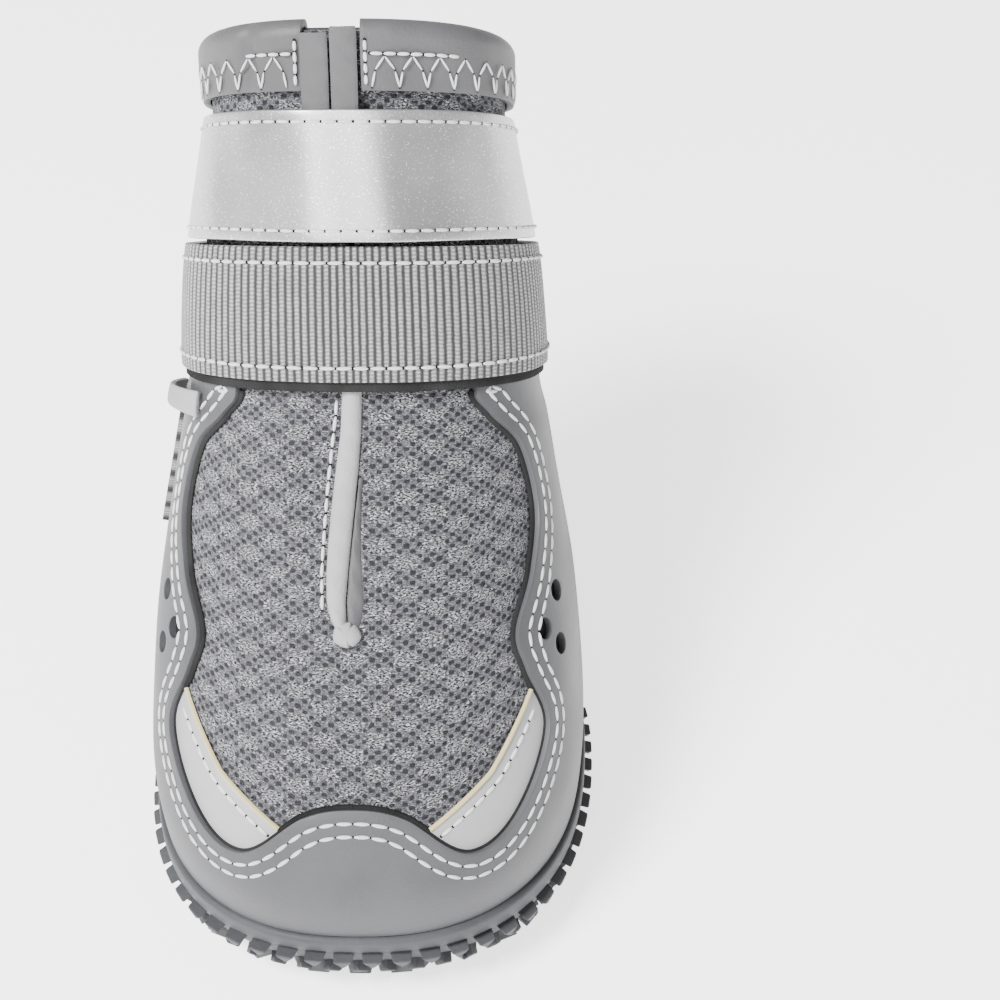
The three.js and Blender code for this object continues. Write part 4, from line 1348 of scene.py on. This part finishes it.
half = math.pi / EDGE_LUG["count"] * EDGE_LUG["share"]
for tier, (near, far, way) in enumerate(EDGE_TIERS):
    base, tip = (near, far) if way > 0 else (far, near)
    for k in range(EDGE_LUG["count"]):
        centre = 2 * math.pi * (k + 0.5 * tier) / EDGE_LUG["count"]
        flat = on_tread(centre, 0.0)[2]  # on_edge measures its tilts from here
        corners = np.array([(centre - half, base), (centre + half, base), (centre, tip)])
        lug(corners, on_edge, EDGE_LUG["height"], EDGE_LUG["taper"])
bmesh.ops.recalc_face_normals(lug_bm, faces=lug_bm.faces)
lugs = finish_object("tread_lugs", lug_bm, RUBBER, smooth=False)
round_edges(lugs, 0.22)
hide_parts("outsole")
print("lugs:", len(lugs.data.vertices) // 6)

# %% [markdown]
# ## The sole plate
# A small yellow plate lies in a pocket under the heel. It is a rounded rectangle whose outline is repeated inwards,
# lower for the raised border and higher for the field inside it.

# %% The plate
FIELD = 0.45  # mm, how deep the plate's field lies inside its border
PLATE_STEPS = [(0.0, 1.5), (0.0, 0.25), (-0.2, 0.0), (-0.75, 0.0), (-0.95, 0.2), (-1.1, FIELD), (-3.5, FIELD)]


def rounded_outline(grow, height, corner_points=6):
    w, l = PLATE_SIZE["width"] / 2 + grow, PLATE_SIZE["length"] / 2 + grow
    r = max(0.4, PLATE_SIZE["corner"] + grow)
    points = []
    for k, (cx, cy) in enumerate(((w - r, l - r), (-w + r, l - r), (-w + r, -l + r), (w - r, -l + r))):
        for t in np.linspace(0, math.pi / 2, corner_points) + k * math.pi / 2:
            points.append((cx + r * math.cos(t), PLATE_SIZE["middle"] + cy + r * math.sin(t), height))
    return points + points[:1]


plate_bm = ring_grid(np.array([rounded_outline(grow, PLATE_SIZE["top"] + up) for grow, up in PLATE_STEPS]))
bmesh.ops.holes_fill(plate_bm, edges=[e for e in plate_bm.edges if e.is_boundary], sides=0)
bmesh.ops.recalc_face_normals(plate_bm, faces=plate_bm.faces)
plate = finish_object("yellow_plate", plate_bm, PLATE, smooth=False)
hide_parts("sole_plate")
print("plate faces:", len(plate.data.polygons))

# %% [markdown]
# ## The insole
# Inside lies a padded insole, cut to the cup's floor, with a rounded upper edge. It is a ring of points too, from
# the middle of its underside out, up and back to the middle of its top.

# %% The insole
INSOLE_LEVEL = 0.12
INSOLE_INSET = 2.6  # mm inside the last
INSOLE_STEPS = [(0.0, 6.6), (0.6, 6.6), (0.97, 6.6), (1.0, 7.0), (1.0, 8.9), (0.985, 9.4), (0.95, 9.6), (0.6, 9.6),
                (0.0, 9.6)]  # share of the way out, and height in mm

insole_edge = last(np.linspace(0, 2 * math.pi, 97), INSOLE_LEVEL, -INSOLE_INSET)[:, :2]
insole_rings = [np.column_stack([insole_edge * part, height + spring(insole_edge[:, 1] * part)])
                for part, height in INSOLE_STEPS]
insole_bm = ring_grid(np.array(insole_rings))
bmesh.ops.recalc_face_normals(insole_bm, faces=insole_bm.faces)
insole = finish_object("foam_insole", insole_bm, LINING)
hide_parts("insole")
print("insole faces:", len(insole.data.polygons))

# %% [markdown]
# ## The back seam
# At the back the mudguard's two ends meet in a seam, with one row of stitches on each side of it.

# %% The back seam
SEAM = {"beside": 3.2, "from": 1.4, "to": 7.9}  # degrees beside the middle, and levels

seam_levels = np.linspace(SEAM["from"], SEAM["to"], 60)
seam_lines = []
for side in (1, -1):
    seam_angles = np.full(len(seam_levels), math.radians(180 - side * SEAM["beside"]))
    seam_lines.append((guard_skin(seam_angles, seam_levels), outward(seam_angles, seam_levels)))
stitch_rows("back_seam_stitches", seam_lines, 2.75, 0.7)

# %% [markdown]
# ## Floor and light
# The floor glows a little, so that it stays nearly white under soft light. One strong soft lamp stands high on the
# left and a weak one in front, and the world fills the shadows.

# %% Floor and light
FLOOR_SIZE = 3.0  # metres from the middle to each edge
FLOOR_GLOW = 2.0
WORLD_LIGHT = 0.55
LAMP_AIM = (0, 0, 0.06)

floor_bm = bmesh.new()
bmesh.ops.create_grid(floor_bm, x_segments=1, y_segments=1, size=FLOOR_SIZE)
floor = new_object("floor", floor_bm)
floor_finish, _, floor_shader = material("floor", 0.9, 0.1)
floor_shader.inputs["Base Color"].default_value = grey(0.9)
floor_shader.inputs["Emission Color"].default_value = grey(1.0)
floor_shader.inputs["Emission Strength"].default_value = FLOOR_GLOW
floor.data.materials.append(floor_finish)

world = bpy.data.worlds.new("studio")
bpy.context.scene.world = world
world.use_nodes = True
background = world.node_tree.nodes["Background"]
background.inputs["Color"].default_value = grey(1.0)
background.inputs["Strength"].default_value = WORLD_LIGHT


def softbox(name, place, size, power):
    light = bpy.data.lights.new(name, "AREA")
    light.shape = "DISK"
    light.size = size
    light.energy = power
    lamp = bpy.data.objects.new(name, light)
    lamp.location = place
    lamp.rotation_euler = (Vector(LAMP_AIM) - Vector(place)).to_track_quat("-Z", "Y").to_euler()
    bpy.context.scene.collection.objects.link(lamp)


softbox("key", (-0.5, -0.42, 0.95), 0.4, 32.0)
softbox("front", (-0.2, -0.95, 0.55), 0.6, 7.0)
print("lamps:", len(bpy.data.lights))

# %% [markdown]
# ## Camera
# The camera looks down at the toe from in front, close by and with a longish lens. It is turned by its yaw, then
# tipped down, and last of all rolled about its own line of sight.

# %% Camera
CAMERA = {"place": (29.0, -241.9, 304.4), "down": 44.0, "yaw": 1.5, "roll": -0.9, "lens": 78.0}
camera_data = bpy.data.cameras.new("camera")
camera_data.lens = CAMERA["lens"]
camera_data.sensor_width = 36.0
camera = bpy.data.objects.new("camera", camera_data)
camera.location = placed(CAMERA["place"])
yaw, tip, roll = [Matrix.Rotation(math.radians(degrees), 3, axis) for degrees, axis in (
    (CAMERA["yaw"], "Z"), (90 - CAMERA["down"], "X"), (CAMERA["roll"], "Z"))]
camera.rotation_euler = (yaw @ tip @ roll).to_euler()
bpy.context.scene.collection.objects.link(camera)
bpy.context.scene.camera = camera
print("camera at", [round(c, 3) for c in camera.location])
